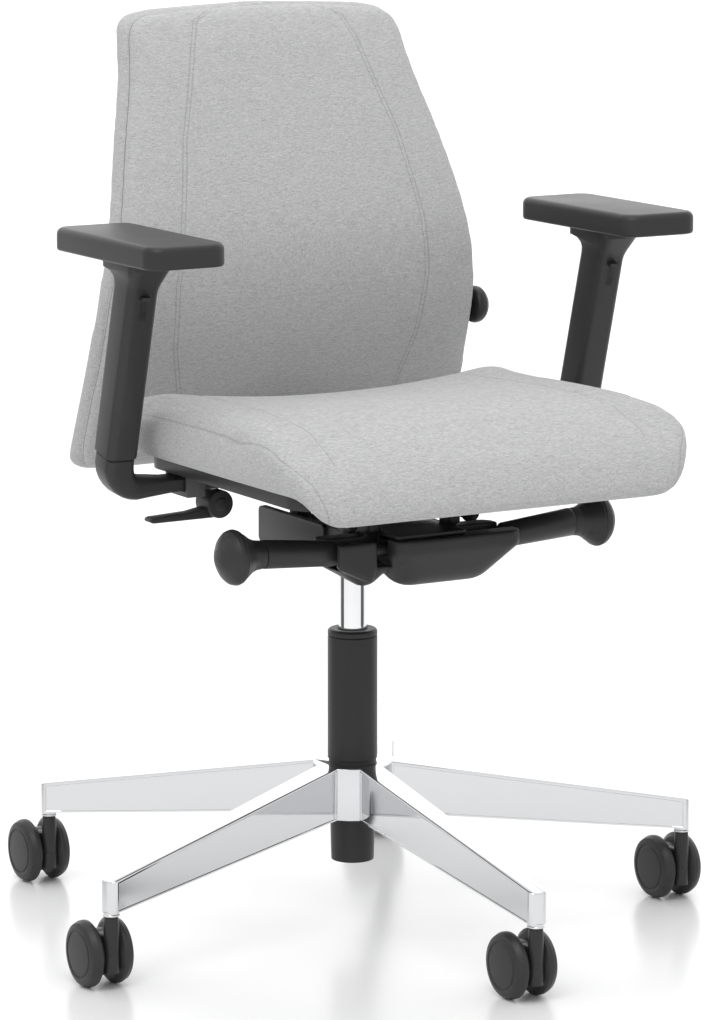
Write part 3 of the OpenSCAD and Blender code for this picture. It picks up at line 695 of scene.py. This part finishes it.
def leg_collars():
    low, high = collar_low.z, collar_high.z + 1 * MM
    shapes = []
    for place in leg_places():
        ring = turned([(5.9 * MM, low), (8.6 * MM, low), (8.6 * MM, low + 1.2 * MM),
                       (7.4 * MM, low + 2.0 * MM), (8.2 * MM, high), (5.9 * MM, high),
                       (5.9 * MM, low)], 0.3 * MM, 32, 2)
        shapes.append(placed(ring, Matrix.Translation(place)))
    return keep("collars_under_legs", joined(*shapes), "polished_base", "base", ["leg_collars"])


def column():
    low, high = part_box("column_tube")
    foot_r, tube_r, shoulder = 21.5 * MM, 25 * MM, HUB_TOP + 3 * MM
    tube = turned([(0, low.z + 5 * MM), (17 * MM, low.z + 5 * MM), (17 * MM, low.z),
                   (foot_r, low.z), (tube_r - 1 * MM, shoulder), (tube_r, shoulder + 1 * MM),
                   (tube_r, high.z - 0.4 * MM), (tube_r - 1 * MM, high.z), (16 * MM, high.z)],
                  1.6 * MM, 96, 4)
    return keep("column_outer_tube", tube, "black_tube", "base", ["column_tube"], 35)


def column_cap():
    low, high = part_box("tube_cap")
    r = high.x
    ring = turned([(14.8 * MM, low.z), (r - 1 * MM, low.z), (r, low.z + 0.8 * MM),
                   (r, high.z - 2 * MM), (r - 2 * MM, high.z), (16 * MM, high.z),
                   (14.8 * MM, high.z - 1 * MM), (14.8 * MM, low.z)], 0.5 * MM, 96, 3)
    return keep("column_cap_ring", ring, "black_tube", "base", ["tube_cap"], 35)


def chromed_cylinder():
    low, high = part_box("gas_cylinder")
    r = high.x
    rod = turned([(0, low.z), (r - 1 * MM, low.z), (r, low.z + 1 * MM), (r, high.z - 3 * MM),
                  (r - 1.5 * MM, high.z), (5.2 * MM, high.z), (5.2 * MM, high.z - 6 * MM),
                  (0, high.z - 6 * MM)], 0.5 * MM, 96, 3)
    return keep("chromed_gas_cylinder", rod, "chrome", "mechanism", ["gas_cylinder"], 35)


for piece in (leg_collars(), column(), column_cap(), chromed_cylinder()):
    print(piece.name, len(piece.data.polygons), "faces")

# %% [markdown]
# ## Casters
#
# Each caster has a neck that swivels, a round body between the wheels, and two wheels
# that overhang it. One wheel profile is turned and mirrored: a broad soft tread, a
# rounded shoulder and a shallow face with a raised disc. The neck widens into the body
# with a small step, where the moulding's two halves meet.

# %% Casters
def wheel_shape(outer):
    r, w = 32.5 * MM, 15.5 * MM
    profile = [(0, 1.2 * MM), (9 * MM, 1.2 * MM), (10 * MM, 0), (r - 5 * MM, 0),
               (r, 4 * MM), (r, w - 7.5 * MM), (r - 2.5 * MM, w - 2 * MM),
               (r - 8 * MM, w - 0.4 * MM), (r - 9.2 * MM, w - 1.5 * MM),
               (r - 10.6 * MM, w - 1.5 * MM), (r - 11.6 * MM, w - 0.2 * MM), (0, w)]
    bm = turned(profile, 2.2 * MM, 72, 4)
    return placed(bm, Matrix.Rotation(outer * math.pi / 2, 4, "Y"))


def caster_wheel(i, side_name, outer):
    low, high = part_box(f"caster_{i}_wheel_{side_name}")
    inner_x = low.x if outer > 0 else high.x
    axle = Vector((inner_x, (low.y + high.y) / 2, (low.z + high.z) / 2))
    bm = placed(wheel_shape(outer), Matrix.Translation(axle))
    node = f"caster_{i}_wheel_{side_name}"
    return keep(f"caster_{i}_tyre_{side_name}", bm, "caster_tread", node, [node], 50)


def caster_body(i, place):
    low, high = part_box(f"caster_{i}_housing")
    axle_z, trail = 32.5 * MM, 25 * MM
    half = high.x - place.x
    neck = turned([(0, axle_z), (half, axle_z), (half, high.z - 8 * MM),
                   (half - 0.8 * MM, high.z), (0, high.z)], 1.0 * MM, 40, 3)
    drum = turned([(0, -half), (23 * MM, -half), (23 * MM, half), (0, half)], 1.5 * MM, 64, 3)
    placed(drum, Matrix.Translation((0, trail, axle_z)) @ Matrix.Rotation(math.pi / 2, 4, "Y"))
    web = plate(box_points(-half + 0.5 * MM, half - 0.5 * MM, 0, trail), axle_z - 6 * MM,
                axle_z + 22 * MM, 0.0, 3 * MM)
    step = turned([(0, axle_z - 15 * MM), (half, axle_z - 15 * MM), (half + 0.15 * MM, axle_z + 1 * MM),
                   (half - 1 * MM, axle_z + 2.5 * MM), (0, axle_z + 2.5 * MM)], 0.6 * MM, 40, 2)
    bm = placed(joined(neck, drum, web, step), Matrix.Translation(place))
    return keep(f"caster_{i}_fork", bm, "caster_plastic", f"caster_{i}", [f"caster_{i}_housing"])


for i, place in enumerate(leg_places(), start=1):
    caster_body(i, place)
    for side_name, outer in (("left", 1), ("right", -1)):
        caster_wheel(i, side_name, outer)
print("casters:", LEG_COUNT)

# %% [markdown]
# ## Softened copies of the frame's parts
#
# Many hard parts already have the right shape in the frame and only lack the small
# radius that every moulding has. `softened` welds a copy of the node's triangles,
# dissolves the flat ones into whole faces, and rounds what is left of the sharp edges.

# %% Softened copies of the frame's parts
def body_of(node):
    for body, nodes in frame["record"]["behaviour"]["bodies"].items():
        if node in nodes:
            return body
    return None


def finish_of(node):
    for part in frame["record"]["subparts"]:
        if part["node"] == node:
            return part["material_slot"]
    return None


def softened(node, radius, segments=2, smooth=35):
    bm = bmesh.new()
    bm.from_mesh(frame["nodes"][node].data)
    merge(bm, 2e-5)
    bmesh.ops.dissolve_limit(bm, angle_limit=math.radians(0.8), verts=bm.verts[:],
                             edges=bm.edges[:])
    bm.normal_update()
    round_edges(bm, sharp_edges(bm, 32), radius, segments)
    return keep(f"{node}_moulded", bm, finish_of(node), body_of(node), [node], smooth)


SOFT_NODES = {
    "mechanism_cover": 1.0, "side_covers": 1.0, "back_bearer": 1.0,
    "seat_carrier": 1.0, "seat_pan": 1.5, "back_shell": 0.8, "arm_guides": 0.8,
    "height_lever": 0.8, "tilt_lever": 0.8, "left_arm_button": 0.5, "right_arm_button": 0.5,
    "lumbar_plate": 0.6,
}
for node, radius in SOFT_NODES.items():
    piece = softened(node, radius * MM)
    print(piece.name, len(piece.data.polygons), "faces")

# %% [markdown]
# ## Rings and lofts
#
# A loft is one closed ring of points, extruded again and again, with each new ring
# moved to its own place and shape. All rings here are rounded rectangles with the same
# number of points, so the skin between them has no twist.

# %% Rings and lofts
def ring(width, depth, radius, corner_steps=5):
    points = []
    for quarter in range(4):
        turn = quarter * math.pi / 2
        sx, sy = ((1, 1), (-1, 1), (-1, -1), (1, -1))[quarter]
        for k in range(corner_steps + 1):
            a = turn + k * math.pi / 2 / corner_steps
            points.append(Vector((sx * (width / 2 - radius) + radius * math.cos(a),
                                  sy * (depth / 2 - radius) + radius * math.sin(a), 0.0)))
    return points


def loft(rings):
    bm, verts = chain(rings[0], closed=True)
    bmesh.ops.contextual_create(bm, geom=bm.edges[:])
    for points in rings[1:]:
        edges = [e for a, b in zip(verts, verts[1:] + verts[:1])
                 for e in [bm.edges.get((a, b))]]
        made = bmesh.ops.extrude_edge_only(bm, edges=edges)["geom"]
        fresh = {v for v in made if isinstance(v, bmesh.types.BMVert)}
        verts = [next(e.other_vert(v) for e in v.link_edges if e.other_vert(v) in fresh)
                 for v in verts]
        for vert, point in zip(verts, points):
            vert.co = point
    last = [bm.edges.get((a, b)) for a, b in zip(verts, verts[1:] + verts[:1])]
    bmesh.ops.contextual_create(bm, geom=last)
    return bm


def at(points, matrix):
    return [matrix @ point for point in points]


print("lofts ready")

# %% [markdown]
# ## Armrests
#
# Each armrest has a soft pad on a flared flange, a sleeve that slides on the upright,
# and a bracket. The bracket is a loft: the upright inside the sleeve, a shoulder just
# below it, a smooth elbow that turns in under the seat, and a flat bar with a slot for
# the clamp's stud.

# %% Armrests
ARM_X = 264.5 * MM
LEAN = math.radians(15.4)
FOOT_Z = 500 * MM
BAR_Y = 12 * MM
BAR_Z = 463.6 * MM
pad_low, pad_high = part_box("left_arm_pad")
SLEEVE_LEN = (pad_low.z - 8 * MM - FOOT_Z) / math.cos(LEAN)


def upright(height):
    return (Matrix.Translation((ARM_X, 0, FOOT_Z)) @ Matrix.Rotation(LEAN, 4, "X")
            @ Matrix.Translation((0, 0, height)))


def for_side(bm, side):
    """Every arm piece is made for the sitter's left, and mirrored for the right."""
    return bm if side > 0 else placed(bm, Matrix.Diagonal((-1, 1, 1, 1)))


PAD_SWELL = Vector((4 * MM, 5 * MM, 0))  # the soft pad is a little larger than its solid


def arm_pad(name, side):
    size = pad_high - pad_low + PAD_SWELL
    bm = plate(box_points(-size.x / 2, size.x / 2, -size.y / 2, size.y / 2), 0, size.z,
               17 * MM, 0, 8)
    rims = sharp_edges(bm, 80)
    top = [e for e in rims if all(v.co.z > size.z / 2 for v in e.verts)]
    foot = [e for e in rims if all(v.co.z < size.z / 2 for v in e.verts)]
    bmesh.ops.bevel(bm, geom=top, offset=6.5 * MM, offset_type="OFFSET", segments=6,
                    profile=0.5, affect="EDGES", material=-1, clamp_overlap=True)
    bmesh.ops.bevel(bm, geom=foot, offset=3.0 * MM, offset_type="OFFSET", segments=3,
                    profile=0.5, affect="EDGES", material=-1, clamp_overlap=True)
    bm.normal_update()
    caps = [f for f in bm.faces if f.normal.z > 0.999]
    bmesh.ops.inset_region(bm, faces=caps, thickness=5 * MM, depth=0.0, use_even_offset=True)
    for vert in {v for f in caps for v in f.verts}:
        vert.co.z += 0.5 * MM
    placed(bm, Matrix.Translation(((pad_low.x + pad_high.x) / 2, (pad_low.y + pad_high.y) / 2,
                                   pad_low.z)))
    piece = keep(f"{name}_soft_pad", for_side(bm, side), "pad_foam", f"{name}_armrest",
                 [f"{name}_arm_pad"], 60)
    return piece


def sleeve_rings():
    width, depth, corner = 33 * MM, 38 * MM, 8 * MM
    rings = [at(ring(width - 2 * MM, depth - 2 * MM, corner - 1 * MM), upright(0)),
             at(ring(width, depth, corner), upright(1 * MM)),
             at(ring(width, depth, corner), upright(SLEEVE_LEN - 24 * MM))]
    top_y = -(pad_low.z - FOOT_Z) * math.tan(LEAN)
    for share in (0.25, 0.5, 0.75, 1.0):
        spread = share ** 2.2
        height = SLEEVE_LEN - 24 * MM + 22 * MM * share
        flared = ring(width + 11 * MM * spread, depth + 34 * MM * spread, corner + 4 * MM * spread)
        flat = Matrix.Translation((ARM_X, top_y + 7 * MM, FOOT_Z + height * math.cos(LEAN)))
        tilted, level = at(flared, upright(height)), at(flared, flat)
        rings.append([a.lerp(b, spread) for a, b in zip(tilted, level)])
    cap = Matrix.Translation((ARM_X, top_y + 7 * MM, pad_low.z - 0.2 * MM))
    rings.append(at(ring(44 * MM, 73 * MM, 12 * MM), cap))
    return rings


def arm_sleeve(name, side):
    outer = loft(sleeve_rings())
    foot = [f for f in outer.faces if len(f.verts) > 8
            and f.calc_center_median().z < FOOT_Z + 5 * MM]
    bmesh.ops.inset_region(outer, faces=foot, thickness=2 * MM, depth=0, use_even_offset=True)
    bmesh.ops.translate(outer, verts=list({v for f in foot for v in f.verts}),
                        vec=upright(0).to_3x3() @ Vector((0, 0, 150 * MM)))
    return keep(f"{name}_sliding_sleeve", for_side(outer, side), "black_plastic",
                f"{name}_armrest", [f"{name}_arm_sleeve"], 30)


def elbow_ring(share, width, depth, corner):
    """A cross-section of the bend, from upright (share 0) to level (share 1)."""
    radius = 28 * MM
    turn = share * math.pi / 2
    middle = Vector((ARM_X - radius * (1 - math.cos(turn)), 2.2 * MM + (BAR_Y - 2.2 * MM) * share,
                     BAR_Z + radius * (1 - math.sin(turn))))
    tilt = Matrix.Rotation(LEAN * (1 - share), 4, "X")
    swing = Matrix.Rotation(turn, 4, "Y")
    return at(ring(width, depth, corner), Matrix.Translation(middle) @ tilt @ swing)


def bar_ring(x, width, depth, corner):
    turned_down = Matrix.Rotation(math.pi / 2, 4, "Y")
    return at(ring(width, depth, corner), Matrix.Translation((x, BAR_Y, BAR_Z)) @ turned_down)


def arm_bracket(name, side):
    rings = [at(ring(26.2 * MM, 31.2 * MM, 4 * MM), upright(168 * MM)),
             at(ring(26.2 * MM, 31.2 * MM, 4 * MM), upright(-0.8 * MM)),
             at(ring(28 * MM, 33 * MM, 7 * MM), upright(-0.8 * MM)),
             at(ring(30 * MM, 35 * MM, 8 * MM), upright(-2.0 * MM))]
    for share in (0.06, 0.18, 0.3, 0.42, 0.54, 0.66, 0.78, 0.9):
        slim = soft_step(share, 0.0, 1.0)
        rings.append(elbow_ring(share, (31 - 8 * slim) * MM, (35 + 1 * slim) * MM, 8 * MM))
    rings += [bar_ring(230 * MM, 20 * MM, 36 * MM, 7 * MM),
              bar_ring(216 * MM, 16.5 * MM, 36 * MM, 5 * MM),
              bar_ring(204 * MM, 12.8 * MM, 36 * MM, 1.5 * MM),
              bar_ring(156 * MM, 12.8 * MM, 36 * MM, 1.5 * MM)]
    low, high = BAR_Z - 6.4 * MM, BAR_Z + 6.4 * MM
    parts = [loft(rings)]
    for y in (-18, 5):
        parts.append(plate(box_points(118 * MM, 157 * MM, BAR_Y + y * MM, BAR_Y + (y + 13) * MM),
                           low, high, 0, 1 * MM))
    parts.append(plate(box_points(92 * MM, 119 * MM, BAR_Y - 18 * MM, BAR_Y + 18 * MM),
                       low, high, 3 * MM, 1 * MM))
    return keep(f"{name}_elbow_bracket", for_side(joined(*parts), side), "black_plastic",
                f"{name}_arm", [f"{name}_arm_bracket"], 35)


def clamp_lever(name, side):
    low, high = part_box("left_arm_clamp_lever")
    y, z, r = BAR_Y, 440 * MM, 14 * MM
    near, far = low.y - y, high.y - y
    drum = turned([(0, near), (r - 1 * MM, near), (r, near + 1 * MM), (r, far - 1 * MM),
                   (r - 1 * MM, far), (6 * MM, far), (6 * MM, far + 1.2 * MM),
                   (0, far + 1.2 * MM)], 1 * MM, 48, 3)
    placed(drum, Matrix.Translation((150 * MM, y, z)) @ Matrix.Rotation(math.pi / 2, 4, "X"))
    root, tip = 150 * MM, high.x - 2 * MM
    blade = plate([(root, -r + 0.2 * MM), (tip - 3 * MM, -r), (tip, -r + 1.5 * MM),
                   (tip, -r + 4.2 * MM), (tip - 3 * MM, -r + 5.6 * MM), (root + 30 * MM, -r + 7.5 * MM),
                   (root + 16 * MM, -r + 10 * MM), (root, -r + 13 * MM)],
                  -7 * MM, 7 * MM, 1.2 * MM, 0.9 * MM)
    placed(blade, Matrix.Translation((0, y, z)) @ Matrix.Rotation(math.pi / 2, 4, "X"))
    return keep(f"{name}_cam_lever", for_side(joined(drum, blade), side), "black_plastic",
                f"{name}_clamp", [f"{name}_arm_clamp_lever"], 40)


for name, side in (("left", 1), ("right", -1)):
    for piece in (arm_pad(name, side), arm_sleeve(name, side), arm_bracket(name, side),
                  clamp_lever(name, side)):
        print(piece.name, len(piece.data.polygons), "faces")

# %% [markdown]
# ## Lever knobs and the lumbar knob
#
# The mushroom knobs are turned about the levers' axes: a flared neck, a parting ring
# just behind the rim, and a domed crown. The lumbar knob is a short drum with a
# bevelled face and its shaft into the back.

# %% Lever knobs and the lumbar knob
def mushroom_profile(reach, rim):
    return [(0, 0.4 * MM), (13.6 * MM, 0.4 * MM), (14 * MM, 4 * MM), (14.6 * MM, 9 * MM),
            (17 * MM, 15 * MM), (21 * MM, 20.5 * MM), (rim - 2.5 * MM, 25.5 * MM),
            (rim - 0.8 * MM, 27.5 * MM), (rim - 1.6 * MM, 28.4 * MM), (rim - 0.2 * MM, 29.2 * MM),
            (rim, 31 * MM), (rim - 1.2 * MM, 35.5 * MM), (rim - 5 * MM, 40 * MM),
            (rim - 11 * MM, reach - 5 * MM), (rim - 18 * MM, reach - 1.4 * MM), (0, reach)]


def mushroom_knob(node, side):
    low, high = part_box(node)
    middle = (low + high) / 2
    neck, crown = 174 * MM, max(abs(low.x), abs(high.x))
    bm = turned(mushroom_profile(crown - neck, (high.z - low.z) / 2), 0.8 * MM, 72, 3)
    placed(bm, Matrix.Translation((side * neck, middle.y, middle.z))
           @ Matrix.Rotation(side * math.pi / 2, 4, "Y"))
    return keep(f"{node}_turned", bm, "black_plastic", body_of(node), [node], 45)


def lumbar_knob():
    low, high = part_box("lumbar_knob")
    middle = (low + high) / 2
    r = (high.z - low.z) / 2
    face, end = 216.5 * MM, high.x
    bm = turned([(0, 128 * MM), (4 * MM, 128 * MM), (4 * MM, face), (r - 2 * MM, face),
                 (r - 0.5 * MM, face + 2 * MM), (r, face + 5 * MM), (r - 0.8 * MM, end - 6 * MM),
                 (r - 3.5 * MM, end - 2.5 * MM), (r - 4.3 * MM, end - 3.0 * MM),
                 (r - 6 * MM, end - 0.6 * MM), (0, end)], 0.7 * MM, 64, 3)
    placed(bm, Matrix.Translation((0, middle.y, middle.z)) @ Matrix.Rotation(math.pi / 2, 4, "Y"))
    return keep("lumbar_knob_turned", bm, "black_plastic", "lumbar_knob", ["lumbar_knob"], 40)


for piece in (mushroom_knob("height_knob", -1), mushroom_knob("tension_knob", 1), lumbar_knob()):
    print(piece.name, len(piece.data.polygons), "faces")

# %% [markdown]
# ## Soft pieces: from solid to cushion
#
# A cushion begins as the frame's own solid, slightly smaller. A voxel remesh gives it
# an even skin, and smoothing takes the edges off. Then Blender's cloth blows it up a
# little: pressure pushes the skin out between its held parts, as foam does under a
# tight cover. The cap keeps any point from moving further than a cover would let it.

# %% Soft pieces: from solid to cushion
def soft_start(node, shrink):
    bm = bmesh.new()
    bm.from_mesh(frame["nodes"][node].data)
    merge(bm, 1e-5)
    bmesh.ops.recalc_face_normals(bm, faces=bm.faces[:])
    return bm if not shrink else shrunk(bm, shrink)


def shrunk(bm, amount):
    low = Vector([min(v.co[i] for v in bm.verts) for i in range(3)])
    high = Vector([max(v.co[i] for v in bm.verts) for i in range(3)])
    middle, size = (low + high) / 2, high - low
    scale = [1 - 2 * amount / size[i] for i in range(3)]
    placed(bm, Matrix.Translation(middle) @ Matrix.Diagonal((*scale, 1)) @ Matrix.Translation(-middle))
    return bm


def evaluated(piece):
    graph = bpy.context.evaluated_depsgraph_get()
    return bpy.data.meshes.new_from_object(piece.evaluated_get(graph))


def even_skin(bm, voxel):
    rough = rough_object(bm)
    modifier(rough, "REMESH", mode="VOXEL", voxel_size=voxel)
    fine = bmesh.new()
    done = evaluated(rough)
    fine.from_mesh(done)
    bpy.data.meshes.remove(done)
    bpy.data.objects.remove(rough)
    return fine


def smoothed(bm, times, factor=0.5):
    for _ in range(times):
        bmesh.ops.smooth_vert(bm, verts=bm.verts[:], factor=factor,
                              use_axis_x=True, use_axis_y=True, use_axis_z=True)
    return bm


def moved(bm, rule):
    for vert in bm.verts:
        vert.co += rule(vert.co)
    return bm


def tight_cover(skin, pressure, frames):
    cloth = modifier(skin, "CLOTH")
    cloth.settings.use_pressure = True
    cloth.settings.uniform_pressure_force = pressure
    cloth.settings.vertex_group_mass = "held"
    cloth.settings.effector_weights.gravity = 0.0
    cloth.settings.quality = 5
    cloth.settings.tension_stiffness = cloth.settings.compression_stiffness = 30.0
    cloth.settings.bending_stiffness = 10.0
    cloth.point_cache.frame_start = 1
    cloth.point_cache.frame_end = frames


def inflated(bm, held, cap, pressure=4.0, frames=20):
    """The skin after the cloth has pushed it out, held where `held` says so."""
    skin = rough_object(bm.copy())
    group = skin.vertex_groups.new(name="held")
    group.add([v.index for v in bm.verts if held(v.co)], 1.0, "REPLACE")
    tight_cover(skin, pressure, frames)
    for frame_number in range(1, frames + 1):
        bpy.context.scene.frame_set(frame_number)
    done = evaluated(skin)
    for vert, after in zip(bm.verts, done.vertices):
        step = after.co - vert.co
        if step.length > cap:
            step *= cap / step.length
        vert.co += step
    bpy.data.meshes.remove(done)
    bpy.data.objects.remove(skin)
    bpy.context.scene.frame_set(1)
    return bm


def stitched(bm, distances):
    """Stores how far each vertex is from up to three seams, for the cloth's stitch lines."""
    layer = bm.verts.layers.float_vector.new("seams")
    for vert in bm.verts:
        vert[layer] = distances(vert.co)
    return bm


def reading(table, value):
    """A value read from (place, value) rows by straight lines between them."""
    for (place, here), (beyond, there) in zip(table, table[1:]):
        if value <= beyond:
            return here + (there - here) * max(value - place, 0.0) / (beyond - place)
    return table[-1][1]


print("soft tools ready")

# %% [markdown]
# ## The cast housing
#
# The housing is one casting, so its forms run into each other. Its solid gets an even
# skin, which is then smoothed. The cavity in that solid breaks through the bowl's wall
# at one lower corner, and a small block closes the opening in this piece only.

# %% The cast housing
CORNER_PLAN = (-35 * MM, -24 * MM, -153 * MM, -140 * MM)
CORNER_LOW, CORNER_HIGH = 391 * MM, 399 * MM


def cast_housing():
    corner = plate(box_points(*CORNER_PLAN), CORNER_LOW, CORNER_HIGH)
    solid = joined(soft_start("mechanism_housing", 0), corner)
    bm = smoothed(even_skin(solid, 1.9 * MM), 5)
    return keep("mechanism_casting", bm, finish_of("mechanism_housing"),
                body_of("mechanism_housing"), ["mechanism_housing"], 180)


housing = cast_housing()
print("housing:", len(housing.data.polygons), "faces")

# %% [markdown]
# ## The seat cushion
#
# The seat is dished across its rear half, where the sitter's weight rests, and runs
# flat towards the front edge. Its underside is held, so only the top and the sides
# fill out. Two shallow furrows mark the seams of the top panel.

# %% The seat cushion
TOP_SEAM = [(-255 * MM, 172 * MM), (60 * MM, 148 * MM)]
LIP_SEAM = [(457 * MM, 187 * MM), (478 * MM, 193 * MM), (505 * MM, 204 * MM), (526 * MM, 222 * MM)]
seat_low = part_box("seat_cushion")[0]


def seat_dish(co):
    across = max(1 - (co.x / (190 * MM)) ** 2, 0.0)
    along = soft_step(co.y, -170 * MM, 80 * MM)
    height = soft_step(co.z, 500 * MM, 530 * MM)
    crown = 2.0 * MM * across * (1 - along) * height
    return Vector((0, 0, crown - 15 * MM * across * along * height))


def seat_lines(co):
    """Distances to the seam along the top and to the one that runs down over the lip."""
    top = abs(co.x) - reading(TOP_SEAM, co.y)
    on_top = top if co.z > 510 * MM and co.y > -265 * MM else 1.0
    return Vector((on_top, abs(co.x) - reading(LIP_SEAM, co.z), 1.0))


def seat_seams(co):
    edge = min(abs(d) for d in seat_lines(co))
    top = soft_step(co.z, 490 * MM, 530 * MM)
    depth = 0.9 * MM * math.exp(-(edge / (3.2 * MM)) ** 2)
    return Vector((0, 0, -depth * top))


def seat_cushion():
    bm = even_skin(soft_start("seat_cushion", 2 * MM), 5 * MM)
    smoothed(bm, 10)
    moved(bm, seat_dish)
    under = seat_low.z + 36 * MM
    inflated(bm, lambda co: co.z < under and co.y > seat_low.y + 45 * MM, 5 * MM, 2.0)
    smoothed(bm, 8)
    bmesh.ops.subdivide_edges(bm, edges=bm.edges[:], cuts=1, use_grid_fill=True)
    smoothed(bm, 4)
    stitched(bm, seat_lines)
    moved(bm, seat_seams)
    piece = keep("upholstered_seat", bm, "grey_cloth", "seat", ["seat_cushion"], 180)
    return piece


seat = seat_cushion()
print("seat:", len(seat.data.polygons), "faces")

# %% [markdown]
# ## The back cushion and the rear panel
#
# Both follow the same curve. The front cushion meets the upholstered rear panel at a
# seam that runs round the edge, and each rounds over towards it, so the seam lies in a
# narrow valley. Two more seams divide the front cover, converging towards the top.

# %% The back cushion and the rear panel
def back_bend(distance, slope, soft):
    return math.sqrt(soft ** 2 + (slope * distance) ** 2) - soft


def back_seam_y(z):
    if z > 670 * MM:
        return 111 * MM + back_bend(z - 670 * MM, 0.4, 24 * MM)
    return 111 * MM + back_bend(670 * MM - z, 0.5, 53 * MM)


BACK_SEAM = [(450 * MM, 112 * MM), (534 * MM, 128 * MM), (578 * MM, 140 * MM), (640 * MM, 144 * MM),
             (700 * MM, 138 * MM), (785 * MM, 122 * MM), (832 * MM, 107 * MM), (877 * MM, 94 * MM),
             (900 * MM, 84 * MM), (914 * MM, 52 * MM)]


def back_lines(co):
    """Distances to the two rows of stitches on the front cover."""
    across = abs(co.x) - reading(BACK_SEAM, co.z)
    behind = co.y - back_seam_y(co.z)
    if behind > -4 * MM:
        return Vector((1.0, 1.0, behind - 1.5 * MM))
    return Vector((across - 2.2 * MM, across + 2.2 * MM, 1.0))


def curve_through(points, steps):
    """A Catmull-Rom curve through (across, height) points."""
    out = []
    for i in range(len(points) - 1):
        a, b, c, d = (Vector(points[min(max(i + k, 0), len(points) - 1)]) for k in (-1, 0, 1, 2))
        for k in range(steps):
            t = k / steps
            out.append(0.5 * (2 * b + (c - a) * t + (2 * a - 5 * b + 4 * c - d) * t ** 2
                              + (3 * b - a - 3 * c + d) * t ** 3))
    return out + [Vector(points[-1])]


def back_outline(inset):
    """Half of the back's outline, from the middle of its foot to the middle of its top."""
    half, foot, top = 217 - inset, 450 + inset, 915.5 - inset
    points = [(0, foot), (half - 40, foot), (half - 12, foot + 2), (half - 2, foot + 10),
              (half, foot + 24), (half, 540), (half - 6, 645), (half - 29, 760), (half - 51, 840),
              (half - 58, top - 36), (half - 62, top - 20), (half - 72, top - 10),
              (half - 90, top - 6), (half - 150, top - 2), (0, top)]
    return [(p.x * MM, p.y * MM) for p in curve_through(points, 4)]


def back_solid(inset, front, rear):
    """The outline, mirrored and pushed through a thickness, not yet curved."""
    right = back_outline(inset)
    left = [(-x, z) for x, z in reversed(right[1:-1])]
    bm = plate(right + left, front, rear)
    return placed(bm, Matrix(((1, 0, 0, 0), (0, 0, 1, 0), (0, 1, 0, 0), (0, 0, 0, 1))))


def curved(bm):
    return moved(bm, lambda co: Vector((0, back_seam_y(co.z), 0)))


def back_seams(co):
    edge = abs(back_lines(co).x + 2.2 * MM)
    depth = 0.8 * MM * math.exp(-(edge / (3.0 * MM)) ** 2)
    front = co.y < back_seam_y(co.z) - 4 * MM
    return Vector((0, depth if front else 0.0, 0))


def back_cushion():
    bm = even_skin(back_solid(2, -12.5 * MM, 12 * MM), 5 * MM)
    smoothed(bm, 5)
    moved(bm, lambda co: Vector((0, -3 * MM * max(1 - (co.x / (200 * MM)) ** 2, 0)
                                 if co.y < 0 else 0.0, 0)))
    inflated(bm, lambda co: co.y > -5 * MM, 4 * MM, 1.4)
    smoothed(bm, 8)
    bmesh.ops.subdivide_edges(bm, edges=bm.edges[:], cuts=1, use_grid_fill=True)
    smoothed(bm, 6)
    curved(bm)
    stitched(bm, back_lines)
    moved(bm, back_seams)
    piece = keep("upholstered_back", bm, "grey_cloth", "back", ["back_cushion"], 180)
    return piece


def rear_panel():
    """A shell of covered board: the front of a full solid is opened and given a wall."""
    bm = even_skin(back_solid(0, 1.0 * MM, 32 * MM), 5 * MM)
    smoothed(bm, 4)
    moved(bm, lambda co: Vector((0, 1.5 * MM * max(1 - (co.x / (200 * MM)) ** 2, 0)
                                 if co.y > 16 * MM else 0.0, 0)))
    inflated(bm, lambda co: co.y < 16 * MM, 3 * MM, 1.2)
    smoothed(bm, 6)
    bm.normal_update()
    opened = [f for f in bm.faces if f.normal.y < -0.93 and f.calc_center_median().y < 3 * MM]
    bmesh.ops.delete(bm, geom=opened, context="FACES")
    bmesh.ops.subdivide_edges(bm, edges=bm.edges[:], cuts=1, use_grid_fill=True)
    smoothed(bm, 3)
    curved(bm)
    stitched(bm, lambda co: Vector((1.0, 1.0, co.y - back_seam_y(co.z) - 1.5 * MM)))
    piece = keep("upholstered_rear_panel", bm, "grey_cloth", "back", ["rear_panel"], 180)
    modifier(piece, "SOLIDIFY", thickness=2.5 * MM, offset=-1.0)
    return piece


for piece in (back_cushion(), rear_panel()):
    print(piece.name, len(piece.data.polygons), "faces")
